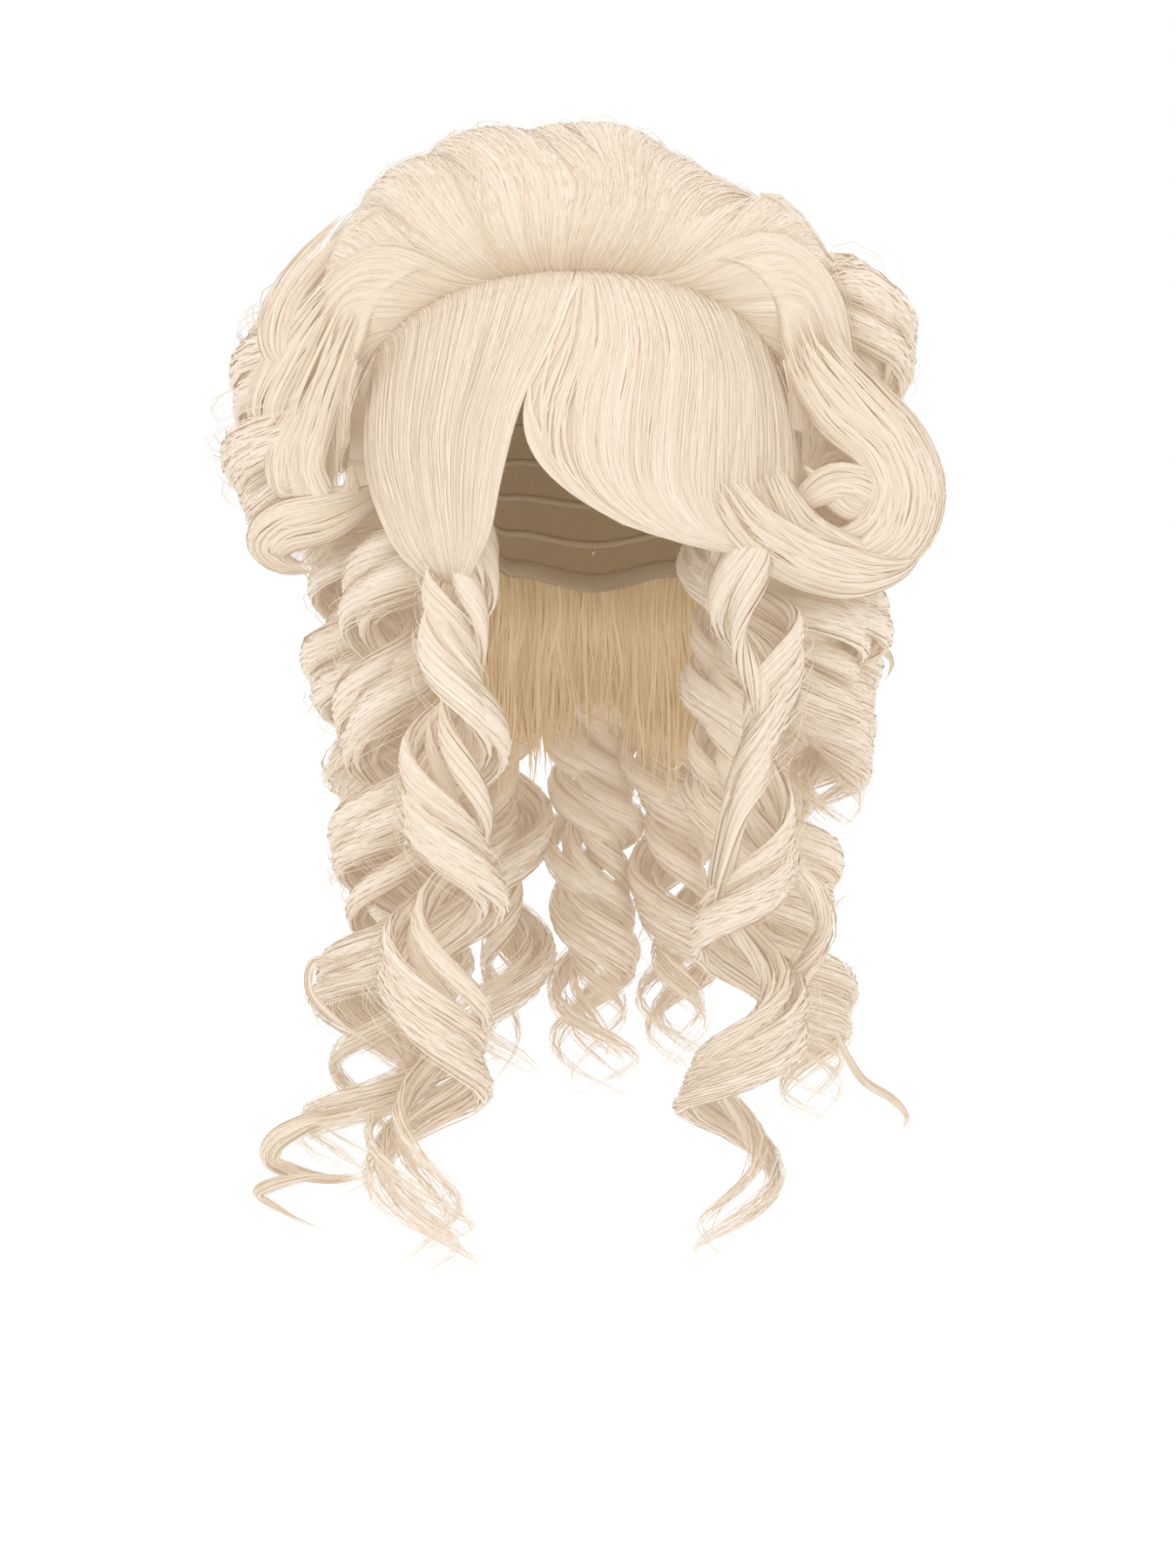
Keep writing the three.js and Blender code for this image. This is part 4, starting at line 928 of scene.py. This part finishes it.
def tress_lie(places, wide, thick, hub, spread):
    """The lie of a free rounded lock that follows a line of places and faces away from hub. Its start is
    spread, or narrow where it comes out from under its neighbours."""
    places = np.array(places) / 1000

    def middle(share):
        after, before = (hang_line(places, np.clip(share + step, 0, 1)) for step in (0.01, -0.01))
        run = unit(after - before)
        here = hang_line(places, share)
        out, side = squared(here - np.array(hub) / 1000, run)
        return here, out, side

    def fullness(share):
        narrow = 0.94 - 0.69 * spread
        return (1 - narrow * (1 - ramp(share, 0, 0.4))) * (1 - 0.88 * ramp(share, 0.55, 1))

    def lie(across, share):
        here, out, side = middle(share)
        turn = np.radians(100) * across
        w, t = (np.sin(turn) * wide / 2)[..., None], (np.cos(turn) * thick / 2)[..., None]
        full = fullness(share)[..., None]
        return here + (side * w + out * t) * full, unit(side * w * thick / wide + out * t * wide / thick)

    return middle, fullness, lie


# Locks that lie loose on a curl or a ringlet, in millimetres: the width, the thickness, the place they face
# away from, how widely their start is spread, and the places they run through.
free_locks = {
    "curl_right_barrel": [
        (34, 18, (122, 10, -100), True, (101, -30, -12), (110, -31, -36), (128, -38, -58), (145, -44, -78),
         (153, -47, -101), (146, -50, -122), (128, -55, -132), (110, -59, -129), (100, -60, -118)),
        (24, 12, (122, 30, -100), True, (96, -32, -24), (104, -37, -46), (117, -45, -64), (135, -50, -80),
         (142, -51, -99), (132, -53, -117), (114, -58, -121), (101, -62, -110)),
        (18, 9, (120, 20, -90), False, (90, -45, -124), (100, -56, -104), (116, -56, -95), (132, -52, -100),
         (135, -50, -112), (124, -50, -117)),
        (10, 5, (120, 20, -90), False, (100, -50, -88), (110, -56, -98), (122, -54, -108), (136, -50, -110),
         (144, -46, -100)),
        (26, 8, (60, 0, -100), True, (58, -101.5, -92), (70, -94.5, -110), (86, -80, -124),
         (106, -68, -134), (130, -59, -139), (150, -51, -135), (160, -44, -123)),
        (22, 8, (60, 0, -100), True, (80, -84, -86), (88, -75, -104), (99, -66, -119), (114, -61, -128),
         (135, -56, -130), (149, -50, -118)),
    ],
    "curl_right_high": [
        (44, 11, (0, 20, -60), 0.75, (94, 19, 35), (109, 22, 14), (126, 20, -5), (141, 10, -26),
         (145, 0, -48), (134, -7, -66)),
        (42, 11, (0, 20, -60), 0.75, (96, 50, 32), (110, 49, 11), (126, 43, -9), (139, 33, -30),
         (141, 21, -52), (129, 11, -70)),
        (30, 9, (0, 20, -60), 0.75, (106, 73, 2), (117, 66, -16), (128, 55, -36), (131, 43, -57),
         (122, 34, -72)),
    ],
    "curl_left_high": [
        (44, 11, (0, 20, -60), 0.75, (-110, 19, 15), (-122, 20, -6), (-134, 12, -24), (-144, 0, -42),
         (-145, -10, -59), (-135, -18, -71)),
        (42, 11, (0, 20, -60), 0.75, (-112, 50, 12), (-123, 46, -9), (-136, 37, -27), (-146, 25, -48),
         (-146, 12, -67), (-137, 3, -80)),
        (24, 12, (-130, 40, -110), False, (-90, 0, -90), (-108, -20, -104), (-130, -36, -113),
         (-150, -36, -118), (-159, -30, -127), (-150, -26, -137), (-134, -26, -139)),
        (26, 12, (-130, 40, -80), True, (-116, -30, -12), (-128, -29, -40), (-138, -30, -66),
         (-143, -33, -90), (-133, -31, -108), (-119, -28, -102), (-118, -26, -88)),
        (22, 12, (-130, 40, -40), True, (-110, -27, 6), (-130, -22, -12), (-148, -22, -37),
         (-158, -24, -61), (-149, -26, -78), (-133, -28, -76), (-128, -26, -62)),
        (18, 10, (-130, 40, -30), True, (-116, -6, 30), (-136, -10, 10), (-152, -18, -14), (-153, -24, -36),
         (-138, -26, -44)),
        (12, 6, (-130, 40, -80), False, (-124, -20, -40), (-140, -30, -58), (-152, -34, -80),
         (-150, -36, -100), (-136, -36, -98)),
    ],
    "ringlet_left_long": [
        (3.5, 2.5, (-110, -60, -335), False, (-104, -88, -362), (-122, -92, -350), (-136, -90, -334),
         (-134, -86, -322), (-124, -83, -322), (-120, -80, -330)),
        (9, 4, (-120, 20, -400), False, (-105, -66, -386), (-120, -80, -397), (-138, -92, -399),
         (-153, -94, -408), (-156, -85, -420), (-145, -78, -428), (-125, -82, -430), (-108, -90, -425)),
        (6, 3, (-120, 20, -400), False, (-118, -90, -425), (-140, -93, -426), (-156, -90, -431),
         (-162, -84, -437), (-150, -80, -447), (-128, -84, -457)),
    ],
    "ringlet_right_outer": [
        (5, 3, (110, 30, -180), False, (116, 22, -158), (128, 14, -172), (140, 12, -179), (149, 12, -189),
         (146, 14, -200)),
    ],
    "ringlet_right_back": [
        (3.5, 2.5, (120, 100, -420), False, (118, 80, -368), (128, 58, -392), (141, 52, -414),
         (156, 52, -424), (164, 50, -434), (161, 50, -442)),
    ],
}
for n, (name, row) in enumerate(ringlets.items()):
    layers = []
    small = name == "strand_right"
    temple = name.startswith("curl")
    count = 1 if small else 10 if temple else 7
    locks = locks_of(700 + n, count, 0.5 if temple else 0.22, 0.0 if small else 0.005)
    if small:
        locks[0].update(phase=0, reach=1, broad=1, ripple=0, late=0)
    steps = max(14, int(row["turns"] * 10.5))
    for k, lock in enumerate(locks):
        middle, half_width, lie = coil_of(row, lock)
        share = np.linspace(0, 0.94, max(12, int(row["turns"] * 11)))
        line, facing = middle(share)
        thick = lock_thickness / 2 * 0.62 * (0.5 + 0.5 * lock["broad"]) * (1 - 0.8 * ramp(share, 0.7, 0.94))
        width = half_width(share) * 0.8 * (1 - 0.85 * ramp(share, 0.75, 0.94))
        layers.append(lens_body(line, facing, width, thick, 0.6 * lock["shade_factor"], 8))
        count = 16 if small else int(wisps_per_lock * lock["broad"])
        layers.append(comb(
            lie, 500 + n * 20 + k, count, steps, (0.0008, 0.0027), (-0.0003, 0.0007), (-1, 1), (0, 0.06),
            (0.84, 1), 0.08, 4, 0.0006, (0.6 * lock["shade_factor"], lock["shade_factor"]), clumps=2, gather=0.2))
        layers.append(comb(
            partial(lie, face=-1), 900 + n * 20 + k, count // 3, steps, (0.0012, 0.003), (-0.0003, 0.0008),
            (-1, 1), (0, 0.06), (0.84, 1), 0.1, 6, 0.0006, (0.55, 0.85), clumps=2))
    for k, (wide, thick, hub, spread, *places) in enumerate(free_locks.get(name, [])):
        wide, thick = wide / 1000, thick / 1000
        middle, fullness, lie = tress_lie(places, wide, thick, hub, spread)
        share = np.linspace(0.35 if spread else 0, 0.92, 33)
        line, out, side = middle(share)
        full = fullness(share) * (1 - 0.5 * ramp(share, 0.5, 0.92)) * (ramp(share, 0.3, 0.6) if spread else 1)
        layers.append(lens_body(line, out, wide / 2 * full * 0.85, thick / 2 * full * 0.85, 0.45, 8))
        fine = wide < 0.008
        layers.append(comb(
            lie, 1300 + n * 20 + k, 16 if fine else int(wide * wisps_per_metre), 21,
            (0.0005, 0.001) if fine else (0.0006, 0.0022), (-0.0002, 0.0008), (-1, 1),
            (0, 0.4 if spread else 0.12), (0.8, 1), 0.12, 6, 0.0008, (0.25, 0.7), clumps=3, gather=0.2))
    lie = coil_of(row, dict(locks[0], broad=0.8, reach=1.05))[2]
    layers.append(comb(
        lie, 515 + n * 20, 16, steps, (0.0003, 0.0006), (0, 0.003), (-1.4, 1.4), (0, 0.3), (0.7, 1),
        0.35, 35, 0.004, (0.5, 0.8)))
    sewn_piece(name, layers, blonde, "hair", name)


# The floor is plain, pale and matt, and lies well below the tips of the hair.
floor_drop = 0.66
floor_half = 6
corners = [(x * floor_half, y * floor_half, -floor_drop) for x, y in ((-1, -1), (1, -1), (1, 1), (-1, 1))]
floor_mesh = bpy.data.meshes.new("pale floor")
floor_mesh.from_pydata(corners, [], [(0, 1, 2, 3)])
floor = bpy.data.objects.new("pale floor", floor_mesh)
bpy.context.collection.objects.link(floor)
pale = {"Base Color": (0.93, 0.93, 0.935, 1), "Roughness": 0.9}
pale.update({"Emission Color": (1, 1, 1, 1), "Emission Strength": 0.1})
floor_mesh.materials.append(new_finish("pale floor", pale)[0])


# Soft studio light: a bright even room, a broad key from the upper left and a weaker one from the right.
aimed_at = (0, 0, -0.15)
room = bpy.data.worlds.new("bright room")
room.use_nodes = True
room.node_tree.nodes["Background"].inputs["Color"].default_value = (1, 1, 1, 1)
room.node_tree.nodes["Background"].inputs["Strength"].default_value = 1.0
bpy.context.scene.world = room
for name, place, size, power in (
    ("key light", (-0.9, -1.7, 1.3), 0.9, 7),
    ("fill light", (1.3, -1.3, 0.4), 1.0, 2),
    ("top light", (0.1, 0.3, 1.7), 0.9, 2),
):
    lamp = bpy.data.lights.new(name, "AREA")
    lamp.size = size
    lamp.energy = power
    light = bpy.data.objects.new(name, lamp)
    light.location = place
    x, y, z = np.subtract(aimed_at, place)
    light.rotation_euler = (math.atan2(math.hypot(x, y), -z), 0, math.atan2(y, x) - math.pi / 2)
    bpy.context.collection.objects.link(light)
bpy.context.scene.view_settings.view_transform = "Standard"

# The camera looks from the front and a little downwards, as in the photograph.
camera_distance = 1.6
camera_tilt = 8.85
lens = bpy.data.cameras.new("photo camera")
lens.sensor_fit = "VERTICAL"
lens.sensor_height = 36
lens.lens = 74.24
lens.clip_end = 50
camera = bpy.data.objects.new("photo camera", lens)
camera.location = (-0.003, -camera_distance, 0)
camera.rotation_euler = (math.radians(90 - camera_tilt), 0, 0)
bpy.context.collection.objects.link(camera)
bpy.context.scene.camera = camera
